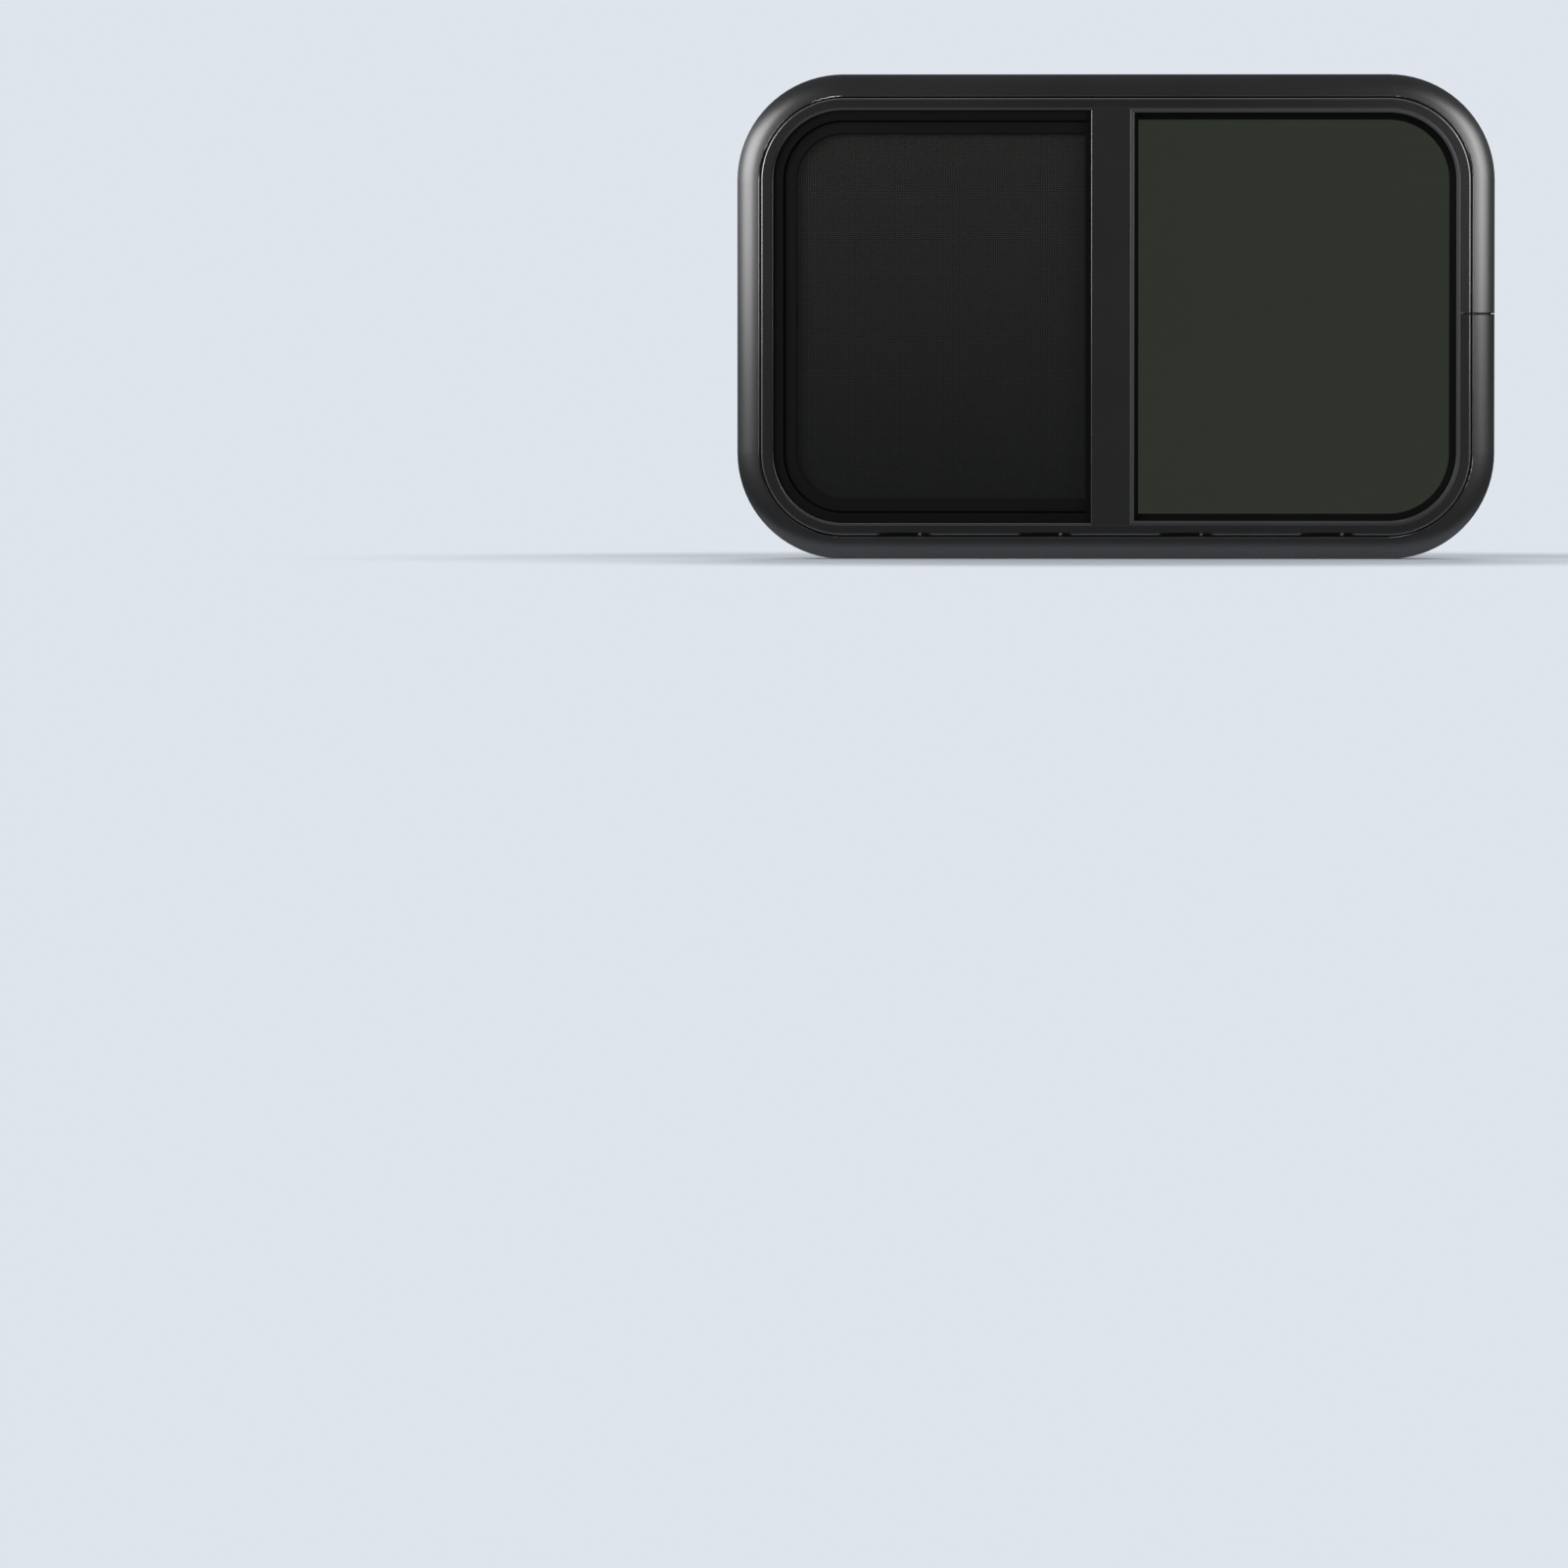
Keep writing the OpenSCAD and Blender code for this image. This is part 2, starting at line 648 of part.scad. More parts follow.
// Screws that draw the clamp ring toward the frame
module clamp_screws() {
  color("silver") stand() at_clamp_screws() translate([0, 0, -wall_t - clamp_t])
    pan_screw(head_r, 1.35, clamp_t + 11);
}

outer_frame();
flange_seal();
splice_plate();
mullion();
mullion_screws();
fixed_glass();
fixed_gasket();
perimeter_bead();
mullion_bead();
setting_blocks();
screen_liner();
screen_frame();
screen_spline();
insect_screen();
glass_run();
sliding_glass();
meeting_stile();
stile_gasket();
pile_seal();
pull_rail();
latch_bracket();
latch_lever();
latch_pin();
latch_keeper();
sash_stops();
clamp_ring();
clamp_screws();
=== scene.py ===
# %% [markdown]
# # A sliding caravan window
#
# Every bar, pane, seal and screw of this window already exists as a solid at its real size and
# place. This lesson gives each of them its finish, models the small things that only a mesh
# shows well, such as the woven screen and the cross recesses of the screws, and ends with a
# plain studio and the camera.
#
# Lengths in Blender are metres here, so a thread 0.3 mm thick would be written as 0.0003. A
# constant called MM keeps such sizes readable: 0.3 * MM.

# %% Load the frame and measure it
import math

import bmesh
import bpy
from mathutils import Matrix, Vector


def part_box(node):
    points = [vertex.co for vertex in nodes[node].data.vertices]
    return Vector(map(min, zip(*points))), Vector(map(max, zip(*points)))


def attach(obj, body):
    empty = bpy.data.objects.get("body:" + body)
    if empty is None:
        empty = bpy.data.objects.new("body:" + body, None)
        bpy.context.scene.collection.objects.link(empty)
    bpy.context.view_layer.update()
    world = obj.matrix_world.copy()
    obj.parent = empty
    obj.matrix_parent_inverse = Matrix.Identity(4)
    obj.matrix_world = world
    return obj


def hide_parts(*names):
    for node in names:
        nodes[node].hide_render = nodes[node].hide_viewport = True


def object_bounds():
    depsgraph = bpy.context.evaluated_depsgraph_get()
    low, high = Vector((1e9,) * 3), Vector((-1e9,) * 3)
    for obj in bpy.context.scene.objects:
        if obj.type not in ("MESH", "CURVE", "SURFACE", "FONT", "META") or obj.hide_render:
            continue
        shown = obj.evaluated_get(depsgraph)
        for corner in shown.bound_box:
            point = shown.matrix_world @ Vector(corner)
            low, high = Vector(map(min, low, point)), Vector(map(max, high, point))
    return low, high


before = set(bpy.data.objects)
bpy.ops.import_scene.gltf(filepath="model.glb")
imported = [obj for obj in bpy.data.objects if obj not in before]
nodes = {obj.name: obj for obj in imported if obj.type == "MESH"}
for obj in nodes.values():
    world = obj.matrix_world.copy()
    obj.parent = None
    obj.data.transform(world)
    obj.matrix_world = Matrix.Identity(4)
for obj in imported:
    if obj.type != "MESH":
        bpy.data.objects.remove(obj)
cad_low, cad_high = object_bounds()
bpy.ops.object.select_all(action="DESELECT")

MM = 0.001
ring_low, ring_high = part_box("outer_frame")
middle_z = (ring_low.z + ring_high.z) / 2
half_w = (ring_high.x - ring_low.x) / 2
half_h = (ring_high.z - ring_low.z) / 2
outer_r = 88.9 * MM
print("outer frame, mm:", round(2 * half_w / MM, 1), "x", round(2 * half_h / MM, 1))

# %% [markdown]
# ## Shader maths as plain expressions
#
# A procedural finish is a sum of masks and noises. Drawn as nodes it soon becomes a web, so a
# small class wraps one output of a node and overloads Python's operators: `1 - mask * 0.4` then
# adds the Math nodes by itself. Two masks are used all the time and get methods of their own: a
# smooth step between two values, and a soft band round one value.

# %% A value that does its own arithmetic
class Value:
    """One output of a shader node. Python's operators on it add Math nodes to the same tree."""

    def __init__(self, graph, socket):
        self.graph = graph
        self.socket = socket

    def __add__(self, other):
        return self.graph.math("ADD", self, other)

    __radd__ = __add__

    def __sub__(self, other):
        return self.graph.math("SUBTRACT", self, other)

    def __rsub__(self, other):
        return self.graph.math("SUBTRACT", other, self)

    def __mul__(self, other):
        return self.graph.math("MULTIPLY", self, other)

    __rmul__ = __mul__

    def __truediv__(self, other):
        return self.graph.math("DIVIDE", self, other)

    def __pow__(self, other):
        return self.graph.math("POWER", self, other)

    def __abs__(self):
        return self.graph.math("ABSOLUTE", self)

    def least(self, other):
        return self.graph.math("MINIMUM", self, other)

    def most(self, other):
        return self.graph.math("MAXIMUM", self, other)

    def steps(self, low, high):
        """Runs smoothly from 0 at low to 1 at high."""
        return self.graph.node(
            "ShaderNodeMapRange", {"interpolation_type": "SMOOTHSTEP"},
            {"Value": self, "From Min": low, "From Max": high})

    def near(self, place, reach):
        """A soft mask that is 1 at one place along this value and 0 beyond its reach."""
        return 1 - abs(self - place).steps(0.35 * reach, reach)


print("methods of a value:", [name for name in vars(Value) if "_" not in name])

# %% [markdown]
# The tree itself is a second class. One method adds every kind of node, and the others are short
# names for the few nodes that these finishes need. Colours and vectors must not pass through
# Math nodes, which would turn them grey, so blending and stretching have methods of their own.

# %% A shader tree that is written down in order
class Graph:
    """A node tree. Every method adds nodes to it and returns their output as a Value."""

    def __init__(self, tree):
        self.tree = tree
        tree.nodes.clear()

    def node(self, kind, settings=None, inputs=None, output=0):
        """Add one node. Its settings come first, because they can change its sockets."""
        made = self.tree.nodes.new(kind)
        for name, setting in (settings or {}).items():
            setattr(made, name, setting)
        for name, given in (inputs or {}).items():
            if isinstance(given, Value):
                self.tree.links.new(given.socket, made.inputs[name])
            else:
                made.inputs[name].default_value = given
        return Value(self, made.outputs[output])

    def end(self, kind, shader):
        """The output node, which has no output of its own."""
        last = self.tree.nodes.new(kind)
        self.tree.links.new(shader.socket, last.inputs["Surface"])

    def math(self, operation, *terms):
        return self.node("ShaderNodeMath", {"operation": operation}, dict(enumerate(terms)))

    def place(self):
        return self.node("ShaderNodeTexCoord", output="Object")

    def axes(self):
        """The X, Y and Z of a point on the piece, in metres."""
        split = self.node("ShaderNodeSeparateXYZ", inputs={0: self.place()})
        sockets = split.socket.node.outputs
        return [Value(self, sockets[i]) for i in range(3)]

    def stretched(self, x, y, z):
        """The place with each axis scaled, so that a noise becomes streaks."""
        return self.node(
            "ShaderNodeVectorMath", {"operation": "MULTIPLY"}, {0: self.place(), 1: (x, y, z)})

    def noise(self, size, detail=2.0, rough=0.5, vector=None):
        """A cloudy pattern from 0 to 1 whose patches are about size metres wide."""
        inputs = {"Vector": vector or self.place(), "Scale": 1 / size, "Detail": detail,
                  "Roughness": rough}
        return self.node("ShaderNodeTexNoise", {"normalize": True}, inputs)

    def lines(self, along, size, detail=2.0):
        """Noise that depends on one number only, which draws parallel lines."""
        inputs = {"W": along, "Scale": 1 / size, "Detail": detail}
        return self.node("ShaderNodeTexNoise", {"noise_dimensions": "1D"}, inputs)

    def cells(self, size):
        """The distance to the nearest of many scattered points, about size metres apart."""
        inputs = {"Vector": self.place(), "Scale": 1 / size}
        return self.node("ShaderNodeTexVoronoi", {"feature": "F1"}, inputs)

    def light_path(self, kind):
        """1 for rays of one kind and 0 for all others."""
        return self.node("ShaderNodeLightPath", output=kind)

    def blend(self, factor, first, second):
        """A colour that goes from the first to the second as the factor goes from 0 to 1."""
        inputs = {0: factor, 6: first, 7: second}
        return self.node("ShaderNodeMix", {"data_type": "RGBA"}, inputs, output=2)

    def bump(self, height, depth):
        """Small relief: height runs from 0 to 1, and depth is what 1 means in metres."""
        return self.node("ShaderNodeBump", inputs={"Height": height, "Distance": depth})


print("methods of a graph:", [name for name in vars(Graph) if not name.startswith("_")])

# %% [markdown]
# A finish is a graph that ends in one surface shader. What stays the same all over is a plain
# number on that shader, and only what changes over the surface is a Value. Most tones of this
# window are neutral, so a helper makes a grey from one number.

# %% A finish is a graph that ends in one surface shader
def rgb(red, green, blue):
    return (red, green, blue, 1.0)


def grey(level):
    return rgb(level, level, level)


class Finish(Graph):
    """A material. Its surface is set once, by constants and by what changes over the surface."""

    def __init__(self, name):
        self.material = bpy.data.materials.new(name)
        self.material.use_nodes = True
        super().__init__(self.material.node_tree)

    def surface(self, **sockets):
        named = {name.replace("_", " "): given for name, given in sockets.items()}
        shader = self.node("ShaderNodeBsdfPrincipled", inputs=named)
        self.end("ShaderNodeOutputMaterial", shader)
        return self.material


def describe(*finishes):
    for made in finishes:
        print(made.name, "has", len(made.node_tree.nodes), "nodes")


print("a grey of 0.3:", grey(0.3))

# %% [markdown]
# ## Where a point lies on the bent bar
#
# The frame is one extrusion that was pulled through a die and then bent round four corners. Its
# faint die lines therefore run along the bar and follow every bend. A texture on X and Z alone
# cannot do that, so the distance from the outer edge, measured inward across the bar, is worked
# out first: it is the distance to a rounded rectangle. Any pattern that depends on it alone
# bends with the bar.

# %% Distance inward from the outer edge
def distance_inward(graph):
    x, _, z = graph.axes()
    past_x = (abs(x) - (half_w - outer_r)).most(0)
    past_z = (abs(z - middle_z) - (half_h - outer_r)).most(0)
    return outer_r - (past_x * past_x + past_z * past_z) ** 0.5


print("straight part of the upper bar, mm:", round(2 * (half_w - outer_r) / MM, 1))

# %% [markdown]
# ## Black anodised aluminium
#
# The bars are aluminium with a dyed, anodised skin. Light passes its clear top and is sent back
# by the metal below, weakened by the dye, so it is shaded as a dark metal and not as a paint:
# the faces that see the dark front of the studio stay black, and the rounded bead gleams in a
# broad soft stripe where it turns toward a lamp. The dye is a little cloudy, and very faint die
# lines run along the bar. The frame and the mullion share this recipe. Only the course of their
# die lines and the depth of their dye differ.

# %% Dyed, anodised metal
dye_cloud = 90 * MM
etched_grain = 0.5 * MM


def anodised(finish, die_lines, tone):
    """The clouds in the dye, and the colour, roughness and relief that they lead to."""
    clouds = finish.noise(dye_cloud, detail=3)
    grain = finish.noise(etched_grain, detail=2)
    deep = rgb(0.118 * tone, 0.118 * tone, 0.119 * tone)
    weak = rgb(0.146 * tone, 0.146 * tone, 0.148 * tone)
    dye = finish.blend(clouds * 0.6 + die_lines * 0.25 + grain * 0.15, deep, weak)
    rough = 0.26 + (clouds - 0.5) * 0.05 + (die_lines - 0.5) * 0.04
    relief = finish.bump(grain * 0.4 + die_lines * 0.6, 0.010 * MM)
    return clouds, dye, rough, relief


print("clouds and grain, mm:", round(dye_cloud / MM), "and", round(etched_grain / MM, 2))

# %% [markdown]
# ## Painted highlights on the edges
#
# The fine ridge, the edge of the step and the lip above and below the panes get paler metal,
# which is a painted highlight along these edges. Three soft bands across the bar mark them, and
# the clouds in the dye make the painted highlight uneven.

# %% Painted highlight: where the metal is made paler
ridge_inward = 18.1 * MM
step_inward = 20.2 * MM
step_edge_inward = step_inward + 0.6 * MM
lip_inward = 29.2 * MM


# Painted highlight: paler metal on the ridge, the step edge and the lip of the upper and lower bars.
def painted_edge_highlights(finish, inward, clouds):
    _, _, z = finish.axes()
    ridge = inward.near(ridge_inward, 0.9 * MM)
    step = inward.near(step_edge_inward, 1.1 * MM)
    level = abs(z - middle_z).steps(130 * MM, 172 * MM)
    lip = inward.near(lip_inward, 1.5 * MM) * level * 2.2
    return ridge.most(step).most(lip) * (0.45 + clouds * 0.5)


# Places of the three bands of painted highlight.
edge_highlight_bands = (ridge_inward, step_edge_inward, lip_inward)
print("rubbed bands, mm inward:", [round(place / MM, 1) for place in edge_highlight_bands])

# %% [markdown]
# ## The saw cuts that drain the lower bar
#
# Four slits let rain water out of the lower bar. They were sawn after the bar was dyed, so a
# trace of bright metal shows at the right end of each one, and the rest of each cut is darkened
# as painted shade. The slits themselves are in the solid. The painted shade and the bare metal
# are masks along X that hold on the lower bar and near the step only.

# %% Painted shade in the drain slits and bare metal at their ends
drain_x = [-177 * MM, -59 * MM, 59 * MM, 177 * MM]
drain_reach = 23.5 * MM
slit_end = 12.8 * MM


def on_lower_bar(z):
    return 1 - (z - middle_z).steps(-170 * MM, -160 * MM)


# Painted shade: each saw cut is darkened along most of its length.
def drain_cut_shade(finish, inward):
    x, _, z = finish.axes()
    cuts = 0
    for place in drain_x:
        cuts = cuts + 1 - abs(x - place).steps(0.85 * drain_reach, drain_reach)
    return cuts * on_lower_bar(z) * inward.near(step_edge_inward, 1.7 * MM) * 0.9


def bright_slit_ends(finish, inward):
    x, _, z = finish.axes()
    ends = 0
    for place in drain_x:
        ends = ends + x.near(place + slit_end, 1.7 * MM)
    on_step = inward.near(step_inward + 0.7 * MM, 1.6 * MM)
    chips = finish.noise(0.8 * MM, detail=2).steps(0.38, 0.48)
    return ends * on_step * on_lower_bar(z) * chips


print("drain slits:", len(drain_x))

# %% [markdown]
# ## The butt seam
#
# On the right side the bent bar meets itself. Grime has settled along the seam, and the saw
# left a small bright burr beside it. Below the seam lies the other end of the bar, which took a
# little more dye. A join like this is what makes a picture of one bent bar believable, so the
# tone changes exactly there and fades out toward the lower bend.

# %% Grime, burr and change of tone at the seam
seam_z = middle_z + 2.6 * MM
seam_burr_inward = 27.4 * MM
right_bar_x = 200 * MM


def on_right_bar(x):
    return x.steps(right_bar_x, right_bar_x + 10 * MM)


def butt_joint(finish, inward):
    """Grime along the seam, as far in as the step."""
    x, _, z = finish.axes()
    across = z.near(seam_z, 1.5 * MM) * on_right_bar(x)
    return across * (1 - inward.steps(step_inward, step_inward + 3 * MM)) * 0.95


def seam_burr(finish, inward):
    x, _, z = finish.axes()
    beside = z.near(seam_z + 0.4 * MM, 0.9 * MM) * on_right_bar(x)
    return beside * inward.near(seam_burr_inward, 1.3 * MM)


def other_end(finish):
    """The darker end of the bar below the seam."""
    x, _, z = finish.axes()
    below = 1 - z.steps(seam_z - 0.5 * MM, seam_z + 0.5 * MM)
    return below * on_right_bar(x) * z.steps(60 * MM, 190 * MM) * 0.35


print("seam above the middle, mm:", round((seam_z - middle_z) / MM, 1))

# %% [markdown]
# ## The whole finish of the bent frame
#
# The layers are laid on in this order: dye first, then paler metal on the edges as a painted
# highlight, then dirt along the seam together with painted shade in the narrow groove between
# ridge and step and in the saw cuts, and last the bare metal of the saw cuts. The rounded bead is
# a little duller than the flat band.

# %% Anodised finish of the bent frame
bead_width = 18.9 * MM
groove_inward = 19.5 * MM
die_line_width = 0.9 * MM


def frame_finish():
    finish = Finish("black_anodised")
    inward = distance_inward(finish)
    on_bead = 1 - inward.steps(bead_width - 1 * MM, bead_width + 1 * MM)
    die_lines = finish.lines(inward, die_line_width, detail=3)
    clouds, dye, rough, relief = anodised(finish, die_lines, tone=1.0)
    dyed = finish.blend(other_end(finish), dye, grey(0.05))
    # Painted highlight: the edges are blended toward a paler metal.
    edge_highlighted = finish.blend(painted_edge_highlights(finish, inward, clouds), dyed, grey(0.30))
    # Painted shade in the narrow groove between ridge and step, joined with the seam dirt and the
    # painted shade of the saw cuts.
    dust_and_groove_shade = inward.near(groove_inward, 0.7 * MM) * 0.7
    dirt_and_shade = butt_joint(finish, inward).most(dust_and_groove_shade).most(drain_cut_shade(finish, inward))
    grimy_and_shaded = finish.blend(dirt_and_shade, edge_highlighted, grey(0.008))
    bare = bright_slit_ends(finish, inward).most(seam_burr(finish, inward))
    colour = finish.blend(bare, grimy_and_shaded, rgb(0.80, 0.80, 0.78))
    return finish.surface(Base_Color=colour, Roughness=rough + on_bead * 0.05, Metallic=1.0,
                          Normal=relief)


black_anodised = frame_finish()
describe(black_anodised)

# %% [markdown]
# The mullion is a straight bar of the same metal. Its die lines simply run upright, so the
# number that they depend on is X. It was dyed in another batch and is a touch paler.

# %% Anodised finish of the straight mullion
def mullion_finish():
    finish = Finish("black_anodised_mullion")
    x, _, _ = finish.axes()
    die_lines = finish.lines(x, die_line_width, detail=3)
    _, dye, rough, relief = anodised(finish, die_lines, tone=1.15)
    return finish.surface(Base_Color=dye, Roughness=rough, Metallic=1.0, Normal=relief)


mullion_skin = mullion_finish()
describe(mullion_skin)

# %% [markdown]
# ## Plastics and rubbers
#
# Black plastics differ by their gloss and grain more than by their colour. The glazing bead is
# satin charcoal vinyl, the liner has a leathery moulded grain, the screen frame a dull coat, and
# the gaskets a matt skin with faint bloom. The liner, the gaskets and the screen frame sit deep in
# the channel, and their near-black tone with almost no shine is painted shade for it. The clamp
# ring inside is painted metal, which looks much the same. One function makes them all, and each
# gets its own dark and light tone, roughness, shine, grain size and relief.

# %% One recipe for plastics and rubbers
def moulded(name, dark, light, rough, shine, grain_size, relief_depth):
    finish = Finish(name)
    clouds = finish.noise(45 * MM, detail=3)
    grain = finish.noise(grain_size, detail=2)
    colour = finish.blend(clouds * 0.7 + grain * 0.3, grey(dark), grey(light))
    blur = rough + (clouds - 0.5) * 0.12 + (grain - 0.5) * 0.08
    relief = finish.bump(grain, relief_depth)
    return finish.surface(Base_Color=colour, Roughness=blur, Normal=relief,
                          Specular_IOR_Level=shine)


bead_vinyl = moulded("charcoal_vinyl", 0.036, 0.046, 0.42, 0.5, 0.5 * MM, 0.006 * MM)
ring_paint = moulded("satin_black_paint", 0.010, 0.014, 0.40, 0.4, 0.5 * MM, 0.010 * MM)
# Painted shade: gasket, liner and screen coat are made nearly black with almost no shine, for the deep
# channel.
gasket_rubber_painted_shade = moulded("gasket_rubber_painted_shade", 0.0022, 0.0038, 0.62, 0.08, 0.4 * MM, 0.015 * MM)
liner_plastic_painted_shade = moulded("liner_plastic_painted_shade", 0.0050, 0.0064, 0.56, 0.08, 0.6 * MM, 0.02 * MM)
screen_coat_painted_shade = moulded("dull_black_coat_painted_shade", 0.0066, 0.0080, 0.52, 0.08, 0.4 * MM, 0.012 * MM)
stop_rubber = moulded("stop_rubber", 0.012, 0.020, 0.72, 0.3, 0.5 * MM, 0.02 * MM)
nylon = moulded("moulded_nylon", 0.009, 0.014, 0.45, 0.4, 0.3 * MM, 0.012 * MM)
pile_fibre = moulded("pile_fibre", 0.014, 0.024, 0.90, 0.2, 0.25 * MM, 0.08 * MM)
describe(bead_vinyl, ring_paint, gasket_rubber_painted_shade, liner_plastic_painted_shade)
describe(screen_coat_painted_shade, stop_rubber, nylon, pile_fibre)

# %% [markdown]
# ## Flock, tape and cord
#
# Three soft finishes need a pattern of their own. Flock is a velvet of upright fibres, seen as
# fine cells. Sealing tape is a grey putty with little pits and a slow waviness from the roll.
# The cord that wedges the mesh into its groove has small ribs across it, so it grips.

# %% Flocked run, sealing tape and ribbed cord
def flocked_run():
    finish = Finish("flocked_rubber")
    tufts = finish.cells(0.45 * MM)
    clouds = finish.noise(30 * MM, detail=2)
    colour = finish.blend(
        tufts * 0.6 + clouds * 0.4, rgb(0.007, 0.007, 0.008), rgb(0.022, 0.022, 0.023))
    relief = finish.bump(1 - tufts, 0.12 * MM)
    return finish.surface(Base_Color=colour, Roughness=0.88 - tufts * 0.1, Normal=relief)


def sealing_tape():
    finish = Finish("grey_sealing_tape")
    pits = finish.cells(2.1 * MM).steps(0.05, 0.35)
    waves = finish.noise(14 * MM, detail=2)
    colour = finish.blend(waves * 0.6 + pits * 0.4, grey(0.10), rgb(0.20, 0.20, 0.195))
    relief = finish.bump(waves * 0.6 + pits * 0.4, 0.35 * MM)
    return finish.surface(Base_Color=colour, Roughness=0.62 + waves * 0.15, Normal=relief)


def ribbed_cord():
    finish = Finish("ribbed_cord")
    ribs = finish.node(
        "ShaderNodeTexWave", {"wave_type": "BANDS", "bands_direction": "DIAGONAL"},
        {"Vector": finish.place(), "Scale": 0.35 / MM, "Distortion": 0.0}, output=1)
    colour = finish.blend(ribs, grey(0.010), grey(0.030))
    return finish.surface(Base_Color=colour, Roughness=0.75 - ribs * 0.1,
                          Normal=finish.bump(ribs, 0.15 * MM))


flock = flocked_run()
tape = sealing_tape()
cord = ribbed_cord()
describe(flock, tape, cord)

# %% [markdown]
# ## Tinted safety glass
#
# Both panes are dark privacy glass. Light passes through it, but a deep tint keeps back nearly
# all of it, so from outside a pane reads as a dark mirror, green on the right and almost black
# behind the screen. The surface is smooth, yet it is never perfect: a thin film of dust and
# wiped water spots changes how blurred the reflections are, and the film lightens the tint a
# little toward the right.

# %% Dark green panes
def tinted_glass(name, tint):
    finish = Finish(name)
    x, _, _ = finish.axes()
    wiped = x.steps(-half_w, half_w)
    film = finish.noise(120 * MM, detail=4, rough=0.6)
    spots = finish.cells(9 * MM).steps(0.0, 0.22)
    hazy = rgb(*(1.25 * part for part in tint))
    colour = finish.blend(film * 0.4 + wiped * 0.4, rgb(*tint), hazy)
    rough = 0.03 + film * 0.05 + (1 - spots) * 0.02
    return finish.surface(Base_Color=colour, Roughness=rough, IOR=1.5, Transmission_Weight=1.0)


fixed_pane = tinted_glass("green_privacy_glass", (0.0300, 0.0345, 0.0230))
sliding_pane = tinted_glass("grey_privacy_glass", (0.0070, 0.0085, 0.0065))
describe(fixed_pane, sliding_pane)

# %% [markdown]
# ## Bare and plated metal
#
# Zinc-plated steel is bright but never clean: the plating has a cloudy blue-yellow cast, fine
# rolling scratches and dull spots. The clamp screws are blackened, and their coat is rubbed
# through in small spots.

# %% Zinc-plated steel and blackened screws
def zinc_steel():
    finish = Finish("zinc_plated_steel")
    clouds = finish.noise(6 * MM, detail=3)
    scratches = finish.noise(0.25 * MM, detail=2, vector=finish.stretched(1, 1, 0.04))
    colour = finish.blend(clouds, rgb(0.50, 0.50, 0.47), rgb(0.66, 0.67, 0.70))
    rough = 0.26 + clouds * 0.16 + scratches * 0.10
    return finish.surface(Base_Color=colour, Roughness=rough, Metallic=1.0,
                          Normal=finish.bump(scratches, 0.006 * MM))


def black_screw():
    finish = Finish("blackened_steel")
    clouds = finish.noise(3 * MM, detail=3)
    rubbed = finish.noise(0.9 * MM, detail=3).steps(0.58, 0.72)
    colour = finish.blend(rubbed * 0.5, rgb(0.016, 0.016, 0.017), grey(0.20))
    rough = 0.34 + clouds * 0.16
    return finish.surface(Base_Color=colour, Roughness=rough, Metallic=rubbed * 0.6,
                          Normal=finish.bump(clouds, 0.01 * MM))


zinc = zinc_steel()
blackened = black_screw()
describe(zinc, blackened)

# %% [markdown]
# ## Dressing the solids
#
# A solid whose shape is already right keeps it and only gets its finish, by filling the material
# slots of its object. A dictionary from node to finish keeps that readable.

# %% Give every solid its finish
finish_of = {
    "outer_frame": black_anodised, "mullion": mullion_skin, "meeting_stile": mullion_skin,
    "clamp_ring": ring_paint, "perimeter_bead": bead_vinyl, "mullion_bead": bead_vinyl,
    "fixed_gasket": gasket_rubber_painted_shade, "stile_gasket": gasket_rubber_painted_shade, "setting_blocks": gasket_rubber_painted_shade,
    "screen_liner": liner_plastic_painted_shade, "screen_frame": screen_coat_painted_shade, "screen_spline": cord,
    "glass_run": flock, "flange_seal": tape, "sash_stops": stop_rubber, "pile_seal": pile_fibre,
    "fixed_glass": fixed_pane, "sliding_glass": sliding_pane, "pull_rail": nylon,
    "latch_lever": nylon, "latch_bracket": zinc, "latch_pin": zinc, "latch_keeper": zinc,
    "splice_plate": zinc, "mullion_screws": zinc, "clamp_screws": blackened,
}
for name, finish in finish_of.items():
    for slot in nodes[name].material_slots:
        slot.material = finish
print("dressed solids:", len(finish_of))

# %% [markdown]
# ## Tools for shaping a piece
#
# A new piece starts as a primitive and is shaped in edit mode, as by hand. Code has no mouse,
# so it picks faces and edges by where they are and which way they point. Every operator acts on
# all that is selected, so the selection is always cleared first.

# %% Start a piece and pick its faces and edges
def clear_selection():
    if bpy.context.object and bpy.context.object.mode == "EDIT":
        bpy.ops.object.mode_set(mode="OBJECT")
    bpy.ops.object.select_all(action="DESELECT")


def begin(name):
    """Name the primitive that was just added, and put its place and size into its mesh."""
    piece = bpy.context.object
    piece.name = name
    bpy.ops.object.transform_apply(location=True, rotation=True, scale=True)
    return piece


def pick_faces(piece, wanted):
    bpy.ops.mesh.select_mode(type="FACE")
    bpy.ops.mesh.select_all(action="DESELECT")
    mesh = bmesh.from_edit_mesh(piece.data)
    for face in mesh.faces:
        face.select_set(wanted(face.calc_center_median(), face.normal))
    bmesh.update_edit_mesh(piece.data)


def pick_edges(piece, wanted):
    bpy.ops.mesh.select_mode(type="EDGE")
    bpy.ops.mesh.select_all(action="DESELECT")
    mesh = bmesh.from_edit_mesh(piece.data)
    for edge in mesh.edges:
        edge.select_set(wanted(edge.verts[0].co, edge.verts[1].co))
    bmesh.update_edit_mesh(piece.data)


clear_selection()
print("selected objects:", len(bpy.context.selected_objects))

# %% [markdown]
# Two more helpers end the work on a piece. One applies a modifier, and the other gives the piece
# its finish, hangs it under the root and hides the solids that it replaces. A third one measures
# each loose solid of a node that holds several, such as the twelve clamp screws: it walks from
# corner to corner along the edges until nothing more can be reached.

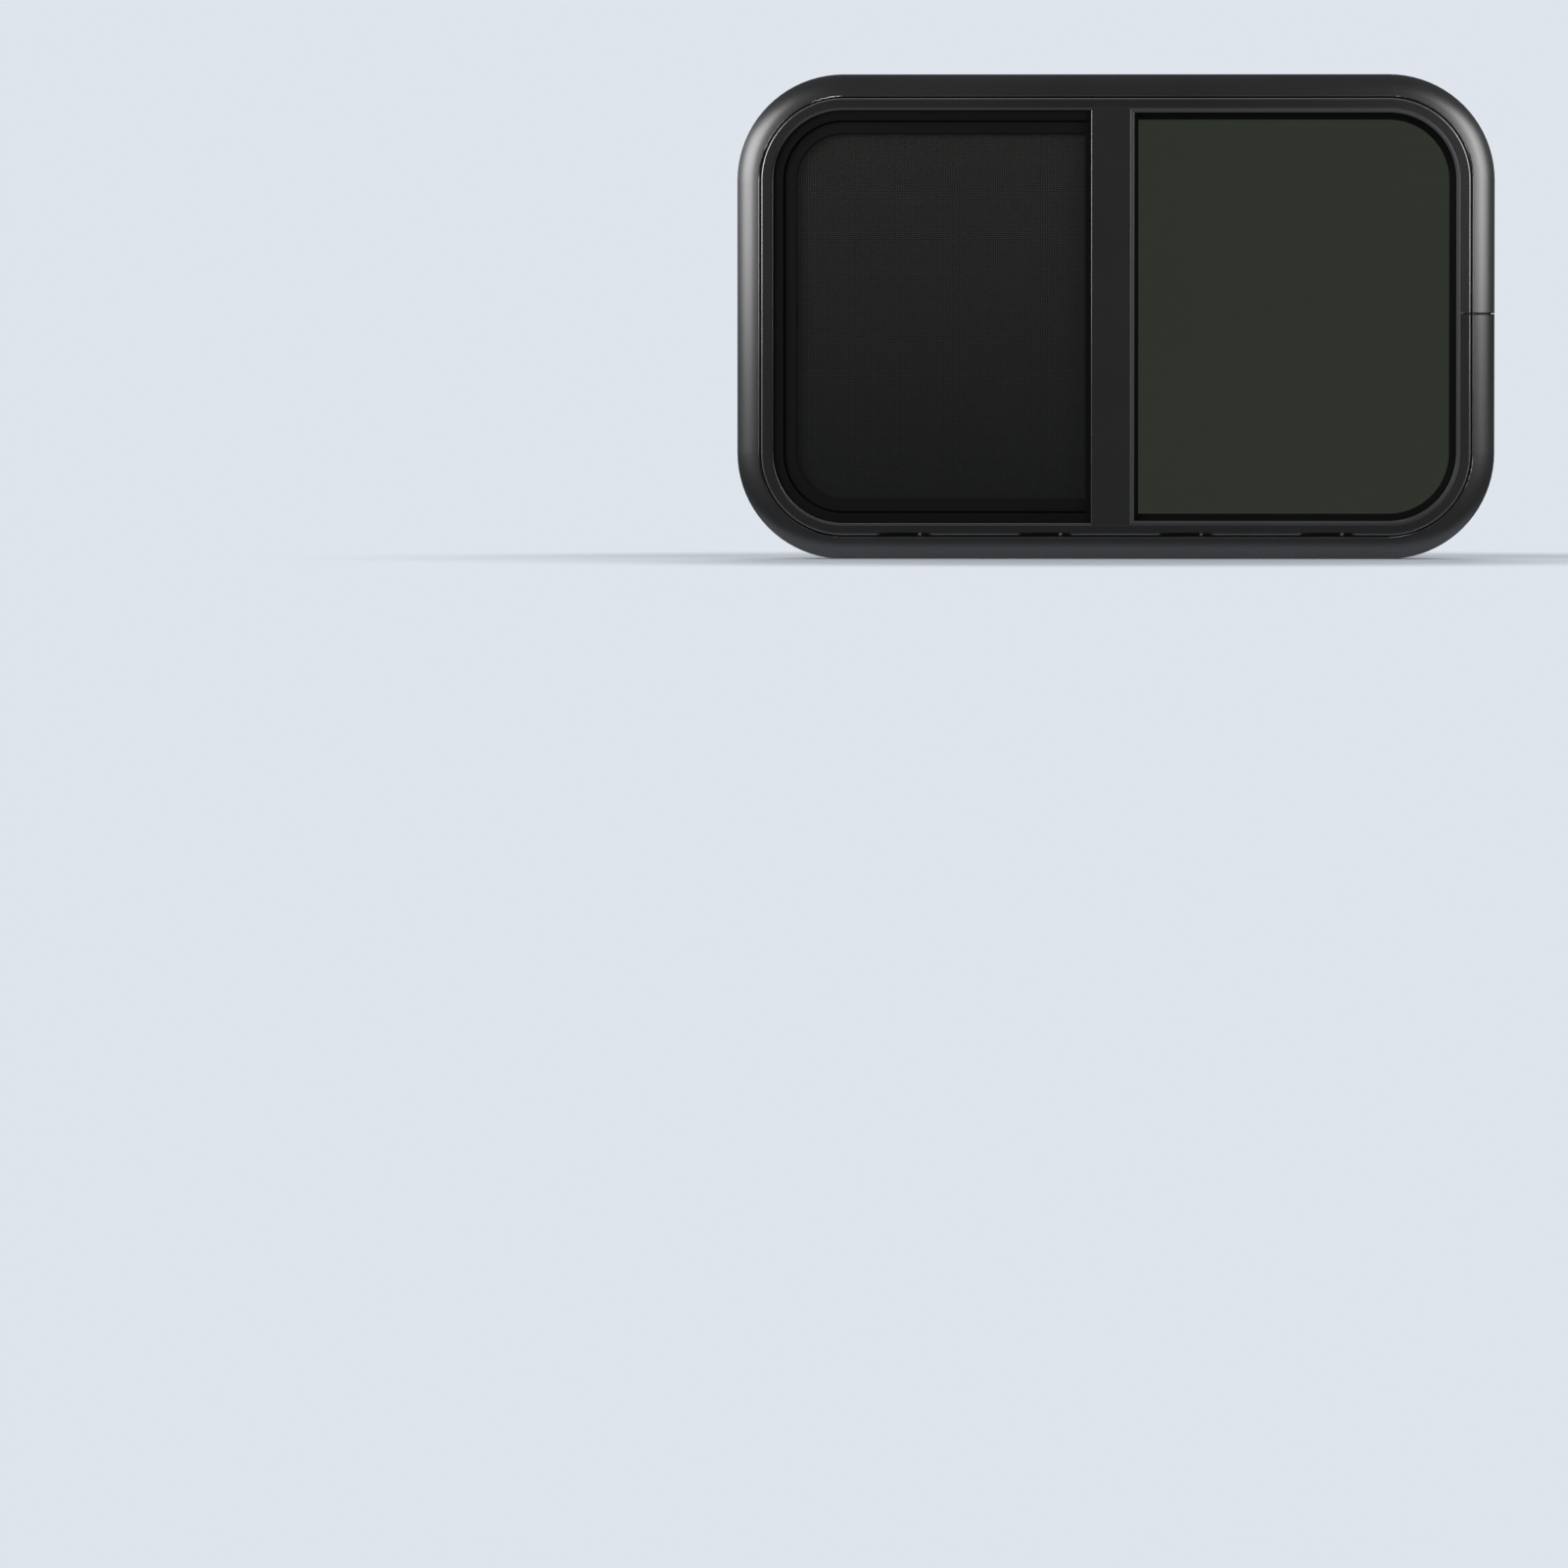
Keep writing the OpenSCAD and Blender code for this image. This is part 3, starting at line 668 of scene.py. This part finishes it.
# %% Apply a modifier, hand over a piece, measure loose solids
weld = 1e-6


def apply_modifier(piece, kind, **settings):
    clear_selection()
    bpy.context.view_layer.objects.active = piece
    piece.select_set(True)
    modifier = piece.modifiers.new(kind.lower(), kind)
    for key, setting in settings.items():
        setattr(modifier, key, setting)
    bpy.ops.object.modifier_apply(modifier=modifier.name)


def finish_piece(piece, material, slot, *replaced):
    piece.data.materials.clear()
    piece.data.materials.append(material)
    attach(piece, "root")
    if replaced:
        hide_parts(*replaced)


def islands(node):
    """Low and high corners of each loose solid of a node."""
    mesh = bmesh.new()
    mesh.from_mesh(nodes[node].data)
    bmesh.ops.remove_doubles(mesh, verts=mesh.verts, dist=weld)
    waiting = set(mesh.verts)
    found = []
    while waiting:
        reached = [waiting.pop()]
        points = []
        while reached:
            vert = reached.pop()
            points.append(vert.co.copy())
            for edge in vert.link_edges:
                other = edge.other_vert(vert)
                if other in waiting:
                    waiting.remove(other)
                    reached.append(other)
        low = Vector(min(p[i] for p in points) for i in range(3))
        high = Vector(max(p[i] for p in points) for i in range(3))
        found.append((low, high))
    mesh.free()
    return sorted(found, key=lambda box: (round(box[0].z, 3), round(box[0].x, 3)))


clamp_solids = islands("clamp_screws")
port_solids = islands("mullion_screws")
print("loose solids:", len(clamp_solids), "clamp screws,", len(port_solids), "mullion screws")

# %% [markdown]
# ## The woven screen
#
# The solid model only holds a thin sheet where the insect screen is. The real one is woven from
# coated threads, 0.3 mm thick here, and from the front it must veil the pane behind it without
# hiding it. A flat picture of a mesh would not do that from every side. So one thread is
# modelled and repeated with an Array modifier, once upright and once across, and both sets are
# cut to the rounded outline by a Boolean modifier. The cutter is a plate whose left corners are
# bevelled to the same bend as the frame.

# %% Measure the net and make the plate of its outline
plate_thickness = 4 * MM
net_low, net_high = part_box("insect_screen")
net_corner = outer_r - (net_low.x - ring_low.x)
net_size = net_high - net_low
net_mid = (net_low + net_high) / 2


def outline_plate():
    clear_selection()
    bpy.ops.mesh.primitive_cube_add(
        size=1, location=net_mid, scale=(net_size.x, plate_thickness, net_size.z))
    plate = begin("outline_plate")
    bpy.ops.object.mode_set(mode="EDIT")
    pick_edges(plate, lambda a, b: a.x < net_mid.x and b.x < net_mid.x and abs(a.y - b.y) > MM)
    bpy.ops.mesh.bevel(offset=net_corner, segments=20, affect="EDGES")
    bpy.ops.object.mode_set(mode="OBJECT")
    return plate


print("net, mm:", round(net_size.x / MM, 1), "x", round(net_size.z / MM, 1))

# %% [markdown]
# The upright threads lie just behind those that run across. A real weave goes over and under,
# but at a thread every one and a half millimetres no picture shows that, and straight threads
# keep the mesh light.

# %% Weave the screen and cut it to its outline
thread_d = 0.30 * MM
pitch_across = 1.45 * MM
pitch_up = 1.60 * MM
past_edge = 4 * MM
layer_step = thread_d * 0.55


def thread_set(name, length, turn, start, step, count, plate):
    clear_selection()
    bpy.ops.mesh.primitive_cylinder_add(
        vertices=6, radius=thread_d / 2, depth=length, location=start, rotation=turn)
    threads = begin(name)
    apply_modifier(threads, "ARRAY", count=count, use_relative_offset=False,
                   use_constant_offset=True, constant_offset_displace=step)
    apply_modifier(threads, "BOOLEAN", operation="INTERSECT", solver="EXACT", object=plate)
    return threads


def woven_screen():
    plate = outline_plate()
    back = net_high.y - layer_step
    front = back - layer_step
    warp = thread_set("screen_warp", net_size.z + past_edge, (0, 0, 0),
                      (net_low.x + pitch_across / 2, back, net_mid.z), (pitch_across, 0, 0),
                      int(net_size.x / pitch_across), plate)
    weft = thread_set("screen_weft", net_size.x + past_edge, (0, math.pi / 2, 0),
                      (net_mid.x, front, net_low.z + pitch_up / 2), (0, 0, pitch_up),
                      int(net_size.z / pitch_up), plate)
    bpy.data.objects.remove(plate)
    clear_selection()
    weft.select_set(True)
    warp.select_set(True)
    bpy.context.view_layer.objects.active = warp
    bpy.ops.object.join()
    warp.name = "woven_screen"
    bpy.ops.object.shade_smooth_by_angle(angle=math.radians(50))
    return warp


screen = woven_screen()
print("screen faces:", len(screen.data.polygons))

# %% [markdown]
# The threads are painted paler toward the top of the net and darker toward the bottom, as
# painted light from above. So the blend between its two tones follows the height, with a little
# cloudiness and fine beads of coating.

# %% Coated thread
def thread_finish():
    finish = Finish("coated_thread")
    clouds = finish.noise(60 * MM, detail=3)
    beads = finish.noise(0.5 * MM, detail=1)
    _, _, z = finish.axes()
    # Painted light: the threads get paler with height.
    painted_top_light = (z - net_low.z) / net_size.z
    shade = (painted_top_light * 0.8 + clouds * 0.15 + beads * 0.05).least(1)
    colour = finish.blend(shade, rgb(0.006, 0.0064, 0.006), rgb(0.053, 0.050, 0.046))
    return finish.surface(Base_Color=colour, Roughness=0.55 + beads * 0.15,
                          Normal=finish.bump(beads, 0.02 * MM), Specular_IOR_Level=0.3)


coated_thread = thread_finish()
finish_piece(screen, coated_thread, "mesh", "insect_screen")
describe(coated_thread)

# %% [markdown]
# ## Screws with a cross recess
#
# A pan-head screw starts as a short cylinder. Insetting its top face and lifting it, three times
# over, rounds it to a dome. The cross recess is cut with two tapered blades by Boolean
# modifiers, because a cross that is only drawn on the head has no depth from the side.

# %% Model the domed head and its recess
blade_depth = 3.0 * MM
on_seat = 1e-7
dome_steps = ((0.10, 0.26), (0.20, 0.20), (0.26, 0.10))
blade_sizes = ((1.15, 0.26), (0.26, 1.15))


def blade(length, width, top):
    clear_selection()
    bpy.ops.mesh.primitive_cube_add(size=1, location=(0, 0, top), scale=(length, width, blade_depth))
    made = begin("recess_blade")
    bpy.ops.object.mode_set(mode="EDIT")
    pick_faces(made, lambda centre, normal: normal.z < -0.9)
    bpy.ops.transform.resize(value=(0.5, 0.5, 1))
    bpy.ops.object.mode_set(mode="OBJECT")
    return made


def screw_head(name, radius, height):
    clear_selection()
    rim = 0.42 * height
    bpy.ops.mesh.primitive_cylinder_add(vertices=40, radius=radius, depth=rim, location=(0, 0, rim / 2))
    head = begin(name)
    bpy.ops.object.mode_set(mode="EDIT")
    pick_faces(head, lambda centre, normal: normal.z > 0.9)
    for inset, lift in dome_steps:
        bpy.ops.mesh.inset(thickness=inset * radius)
        bpy.ops.transform.translate(value=(0, 0, lift * height))
    pick_edges(head, lambda a, b: abs(a.z - b.z) < on_seat and abs(a.z) < on_seat)
    bpy.ops.mesh.bevel(offset=0.05 * radius, segments=2, affect="EDGES")
    bpy.ops.object.mode_set(mode="OBJECT")
    for length, width in blade_sizes:
        cutter = blade(length * radius, width * radius, height)
        apply_modifier(head, "BOOLEAN", operation="DIFFERENCE", solver="EXACT", object=cutter)
        bpy.data.objects.remove(cutter)
    return head


print("steps of the dome:", len(dome_steps), "blades of the recess:", len(blade_sizes))

# %% [markdown]
# The shank is a cylinder with a short cone at its tip. Its thread is a small square turned on
# its corner and swept up a helix by the Screw modifier, half sunk in the shank. The three parts
# are joined to one screw. That one is the master, and every place gets a copy of it.

# %% Model the threaded shank and join the screw
thread_pitch = 1.15 * MM


def thread_helix(radius, length, pitch):
    clear_selection()
    bpy.ops.mesh.primitive_plane_add(
        size=0.55 * pitch, location=(radius, 0, -length), rotation=(math.pi / 2, math.pi / 4, 0))
    helix = begin("thread_helix")
    bpy.ops.object.mode_set(mode="EDIT")
    bpy.ops.mesh.select_all(action="SELECT")
    bpy.ops.mesh.delete(type="ONLY_FACE")
    bpy.ops.object.mode_set(mode="OBJECT")
    apply_modifier(helix, "SCREW", axis="Z", angle=2 * math.pi, screw_offset=pitch, steps=18,
                   render_steps=18, iterations=int(length / pitch), use_merge_vertices=True)
    bpy.ops.object.mode_set(mode="EDIT")
    bpy.ops.mesh.select_all(action="SELECT")
    bpy.ops.mesh.remove_doubles(threshold=weld)
    bpy.ops.mesh.fill_holes(sides=4)
    bpy.ops.mesh.normals_make_consistent(inside=False)
    bpy.ops.object.mode_set(mode="OBJECT")
    return helix


def screw_shank(radius, length):
    clear_selection()
    bpy.ops.mesh.primitive_cylinder_add(
        vertices=24, radius=radius, depth=length, location=(0, 0, -length / 2))
    shank = begin("shank")
    bpy.ops.object.mode_set(mode="EDIT")
    pick_faces(shank, lambda centre, normal: normal.z < -0.9)
    bpy.ops.mesh.inset(thickness=0.55 * radius)
    bpy.ops.transform.translate(value=(0, 0, -0.9 * radius))
    bpy.ops.object.mode_set(mode="OBJECT")
    return shank


def pan_head_screw(name, head_r, head_h, shank_r, length):
    """One screw with its tip down and the seat of its head at the origin."""
    head = screw_head(name, head_r, head_h)
    shank = screw_shank(shank_r, length)
    helix = thread_helix(shank_r, length, thread_pitch)
    clear_selection()
    for part in (shank, helix, head):
        part.select_set(True)
    bpy.context.view_layer.objects.active = head
    bpy.ops.object.join()
    bpy.ops.object.shade_smooth_by_angle(angle=math.radians(35))
    return head


print("thread pitch, mm:", round(thread_pitch / MM, 2))

# %% [markdown]
# A copy of the master is turned about its own axis, aimed and moved in one step, by multiplying
# three matrices. Applying the transform then leaves its place in its mesh.
#
# The twelve clamp screws draw the inner ring toward the frame. Each one stopped at its own
# angle when it was tight, so each recess is turned a different way. The angles come from a
# simple rule, so the picture is the same on every run.

# %% Put the clamp screws in their places
clamp_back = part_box("clamp_ring")[1].y
head_height = clamp_solids[0][1].y - clamp_back
head_radius = (clamp_solids[0][1].x - clamp_solids[0][0].x) / 2
point_room = 1.2 * MM
screw_length = clamp_back - clamp_solids[0][0].y - point_room
clamp_shank_r = 1.2 * MM
turn_each = 2.4


def place_screw(master, name, seat, tip_towards, turn):
    """A copy of the screw whose head sits at the seat and whose tip points along a direction."""
    clear_selection()
    screw = master.copy()
    screw.data = master.data.copy()
    screw.name = name
    bpy.context.collection.objects.link(screw)
    screw.select_set(True)
    bpy.context.view_layer.objects.active = screw
    aim = (-tip_towards).to_track_quat("Z", "Y").to_matrix().to_4x4()
    screw.matrix_world = Matrix.Translation(seat) @ aim @ Matrix.Rotation(turn, 4, "Z")
    bpy.ops.object.transform_apply(location=True, rotation=True, scale=True)
    return screw


master = pan_head_screw("screw_master", head_radius, head_height, clamp_shank_r, screw_length)
forward = Vector((0, -1, 0))
for number, (low, high) in enumerate(clamp_solids):
    seat = Vector(((low.x + high.x) / 2, clamp_back, (low.z + high.z) / 2))
    name = f"clamp_screw_{number + 1:02d}"
    screw = place_screw(master, name, seat, forward, number * turn_each)
    finish_piece(screw, blackened, "screw", "clamp_screws")
bpy.data.objects.remove(master)
print("clamp screws:", len(clamp_solids), "faces each:", len(screw.data.polygons))

# %% [markdown]
# Two smaller screws hold the mullion, one from above and one from below. They run into a round
# port along the bar, so their tips point at each other.

# %% Put the mullion screws in their places
port_head_h = 2.2 * MM
port_shank_r = 1.15 * MM
port_length = 16 * MM
port_seat = 2.3 * MM
port_head_r = (port_solids[0][1].x - port_solids[0][0].x) / 2
master = pan_head_screw("screw_master", port_head_r, port_head_h, port_shank_r, port_length)
for number, (low, high) in enumerate(port_solids):
    upper = low.z > middle_z
    seat_z = high.z - port_seat if upper else low.z + port_seat
    seat = Vector(((low.x + high.x) / 2, (low.y + high.y) / 2, seat_z))
    tip = Vector((0, 0, -1 if upper else 1))
    screw = place_screw(master, f"mullion_screw_{number + 1}", seat, tip, 0.5 + number)
    finish_piece(screw, zinc, "steel", "mullion_screws")
bpy.data.objects.remove(master)
print("mullion screws:", len(port_solids), "faces each:", len(screw.data.polygons))

# %% [markdown]
# ## The pin of the latch
#
# The lever turns on a plain steel pin. Its ends are peened over a little, so that it can't slip
# out: a cylinder with bevelled rims and an inset ring at both ends shows that.

# %% Latch pin with peened ends
def peened_pin():
    low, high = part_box("latch_pin")
    middle = (low + high) / 2
    radius = (high.x - low.x) / 2
    clear_selection()
    bpy.ops.mesh.primitive_cylinder_add(
        vertices=32, radius=radius, depth=high.z - low.z, location=middle)
    pin = begin("latch_pin_peened")
    bpy.ops.object.mode_set(mode="EDIT")
    pick_faces(pin, lambda centre, normal: abs(normal.z) > 0.9)
    bpy.ops.mesh.bevel(offset=0.35 * radius, segments=3, affect="EDGES")
    pick_faces(pin, lambda centre, normal: abs(normal.z) > 0.99)
    bpy.ops.mesh.inset(thickness=0.2 * radius, use_individual=True)
    bpy.ops.object.mode_set(mode="OBJECT")
    bpy.ops.object.shade_smooth_by_angle(angle=math.radians(35))
    return pin


pin = peened_pin()
finish_piece(pin, zinc, "steel", "latch_pin")
print("pin, mm:", round(pin.dimensions.x / MM, 2), "thick,", round(pin.dimensions.z / MM, 2), "long")

# %% [markdown]
# ## Grip on the pull rail
#
# Fingers push the pane open against the two upright bars of the pull rail, so the moulder gives
# that face small ribs. One rib is a short rod with rounded ends, half sunk in the bar, and an
# Array modifier repeats it along the bar. A bump in the shader would be cheaper, but its ribs
# would be missing from the outline, just where a hand feels them.

# %% Ribs on the two bars of the rail
rail_low, rail_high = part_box("pull_rail")
rail_mid_z = (rail_low.z + rail_high.z) / 2
bar_face_x = rail_high.x - 4 * MM
rib_mid_y = rail_low.y + 6.4 * MM
bar_gap = 18 * MM
end_free = 4 * MM
rib_r = 0.55 * MM
rib_length = 6 * MM
rib_pitch = 3 * MM


def rail_grip(name, from_z, to_z):
    """A row of ribs on the left face of one bar, which is left free at both of its ends."""
    first = Vector((bar_face_x, rib_mid_y, from_z + end_free))
    clear_selection()
    bpy.ops.mesh.primitive_cylinder_add(
        vertices=12, radius=rib_r, depth=rib_length, location=first, rotation=(math.pi / 2, 0, 0))
    ribs = begin(name)
    bpy.ops.object.mode_set(mode="EDIT")
    pick_faces(ribs, lambda centre, normal: abs(normal.y) > 0.9)
    bpy.ops.mesh.bevel(offset=0.6 * rib_r, segments=3, affect="EDGES")
    bpy.ops.object.mode_set(mode="OBJECT")
    count = int((to_z - from_z - 2 * end_free) / rib_pitch) + 1
    apply_modifier(ribs, "ARRAY", count=count, use_relative_offset=False,
                   use_constant_offset=True, constant_offset_displace=(0, 0, rib_pitch))
    bpy.ops.object.shade_smooth_by_angle(angle=math.radians(40))
    finish_piece(ribs, nylon, "latch_black")
    return count


lower = rail_grip("rail_grip_lower", rail_low.z, rail_mid_z - bar_gap)
upper = rail_grip("rail_grip_upper", rail_mid_z + bar_gap, rail_high.z)
print("ribs on the rail:", lower + upper)

# %% [markdown]
# ## A plain studio
#
# The window stands on a pale floor. In an ellipse round it the floor takes its shadow, and
# further away it fades into the same pale tone as the world, so no horizon cuts through the
# picture. Mirrors and glass show that pale tone too, behind the window and beside it. A dark
# product is lit against a dark front, though, so a dark cloth lies on the floor before the
# window. It is seen in mirrors alone and takes no light away.

# %% Floor
pale = rgb(0.74, 0.78, 0.84)
dim = rgb(0.100, 0.102, 0.105)
shadow_wide_squared = 0.30
shadow_deep_squared = 0.09
floor_size = 60


def pale_floor():
    clear_selection()
    bpy.ops.mesh.primitive_grid_add(x_subdivisions=8, y_subdivisions=8, size=floor_size,
                                    location=(0, 0, cad_low.z))
    floor = begin("studio_floor")
    finish = Finish("pale_floor")
    x, y, _ = finish.axes()
    away = ((x * x / shadow_wide_squared + y * y / shadow_deep_squared) ** 0.5).steps(0.75, 1.4)
    dust_and_groove_shade = finish.noise(50 * MM, detail=3)
    matt = finish.node("ShaderNodeBsdfPrincipled", inputs={
        "Base Color": finish.blend(dust_and_groove_shade, pale, rgb(0.72, 0.76, 0.82)), "Roughness": 0.9,
        "Specular IOR Level": 0.1, "Normal": finish.bump(dust_and_groove_shade, 0.2 * MM)})
    glow = finish.node("ShaderNodeEmission", inputs={"Color": pale, "Strength": 1.0})
    through = finish.light_path("Is Transmission Ray")
    mirrored = finish.light_path("Is Glossy Ray")
    seen = finish.light_path("Is Camera Ray").most(through).most(mirrored)
    faded = finish.node("ShaderNodeMixShader", inputs={0: away * seen, 1: matt, 2: glow})
    dark = finish.node("ShaderNodeEmission", inputs={"Color": dim, "Strength": 1.0})
    in_front = (0 - y).steps(12 * MM, 50 * MM)
    cloth = in_front * mirrored * (1 - through)
    shader = finish.node("ShaderNodeMixShader", inputs={0: cloth, 1: faded, 2: dark})
    finish.end("ShaderNodeOutputMaterial", shader)
    floor.data.materials.append(finish.material)
    return floor


floor = pale_floor()
print("floor, m:", round(floor.dimensions.x), "x", round(floor.dimensions.y))

# %% [markdown]
# The world answers each kind of ray in its own way. The camera, and rays through glass, see the
# pale background. Rays that a surface mirrors see it too, but in the half where the camera
# stands they see the dark front, which is a little lighter toward the top. All other rays fetch
# a plain grey light, the same from every side.

# %% World
plain_light = rgb(0.44, 0.445, 0.455)
upper_dim = rgb(0.15, 0.152, 0.155)


def studio_world():
    world = bpy.data.worlds.new("studio")
    bpy.context.scene.world = world
    world.use_nodes = True
    graph = Graph(world.node_tree)
    _, y, z = graph.axes()
    dark_front = graph.blend(z.steps(0.2, 0.9), dim, upper_dim)
    mirrored = graph.blend(y.steps(-0.35, 0.0), dark_front, pale)
    light = graph.blend(graph.light_path("Is Glossy Ray"), plain_light, mirrored)
    seen = graph.light_path("Is Camera Ray").most(graph.light_path("Is Transmission Ray"))
    colour = graph.blend(seen, light, pale)
    background = graph.node("ShaderNodeBackground", inputs={"Color": colour, "Strength": 1.0})
    graph.end("ShaderNodeOutputWorld", background)
    return world


world = studio_world()
describe(world)

# %% [markdown]
# Two pairs of strip lamps stand left and right of the window and gleam in the round bead. On
# the left two broad lamps overlap, and on the right a narrow one lies over a broad one, so each
# gleam has a bright core and softer borders. They hang high, so the gleam fades toward the
# bottom. A fill far behind the window lights its back, and no mirror shows that lamp itself.

# %% Lamps
def softbox(name, place, aim, width, height, watts, gleams=True):
    clear_selection()
    turn = (Vector(aim) - Vector(place)).to_track_quat("-Z", "Y").to_euler()
    bpy.ops.object.light_add(type="AREA", location=place, rotation=turn)
    lamp = bpy.context.object
    lamp.name = name
    lamp.data.shape = "RECTANGLE"
    lamp.data.size = width
    lamp.data.size_y = height
    lamp.data.energy = watts
    lamp.visible_camera = False
    lamp.visible_transmission = False
    lamp.visible_glossy = gleams
    return lamp


centre = (0, 0, middle_z)
left_edge = (-0.3, 0, 0.5)
right_edge = (0.3, 0, 0.5)
lamps = [
    softbox("left_strip", (-0.88, -0.69, 0.51), left_edge, 0.56, 0.58, 4.0),
    softbox("left_strip_edge", (-0.96, -0.61, 0.51), left_edge, 0.60, 0.58, 1.25),
    softbox("right_strip", (0.74, -0.675, 0.48), right_edge, 0.50, 0.58, 2.75),
    softbox("right_strip_core", (0.72, -0.69, 0.48), right_edge, 0.14, 0.58, 0.55),
    softbox("back_fill", (0, 2.6, 2.0), centre, 1.8, 1.2, 30, gleams=False),
]
print("lamps:", len(lamps), "watts in all:", round(sum(lamp.data.energy for lamp in lamps), 2))

# %% [markdown]
# ## The camera
#
# The picture is taken straight on with a long lens, so no side of the frame is seen more than
# another. The window's centre sits at upper right of the square picture. The camera stands
# right in front of the window and only turns a little to the left and down, which keeps the
# view straight and needs no lens shift.

# %% Aim a long lens
image_px = 1601
window_px = Vector((1139.15, 323.45))
mm_per_px = 0.8227
lens_mm = 300
sensor_mm = 36
focal_px = lens_mm / sensor_mm * image_px
distance = focal_px * mm_per_px * MM
down = math.atan((image_px / 2 - window_px.y) / focal_px)
left = math.atan((window_px.x - image_px / 2) / focal_px * math.cos(down))

bpy.ops.object.camera_add(
    location=(0, -distance, middle_z), rotation=(math.pi / 2 - down, 0, left))
camera = bpy.context.object
camera.name = "front_camera"
camera.data.lens = lens_mm
camera.data.sensor_width = sensor_mm
camera.data.clip_end = 100
bpy.context.scene.camera = camera
bpy.context.scene.view_settings.view_transform = "Standard"
print("camera stands", round(distance, 2), "m in front")

# %% [markdown]
# The dressed window must stay inside the box of the solids.
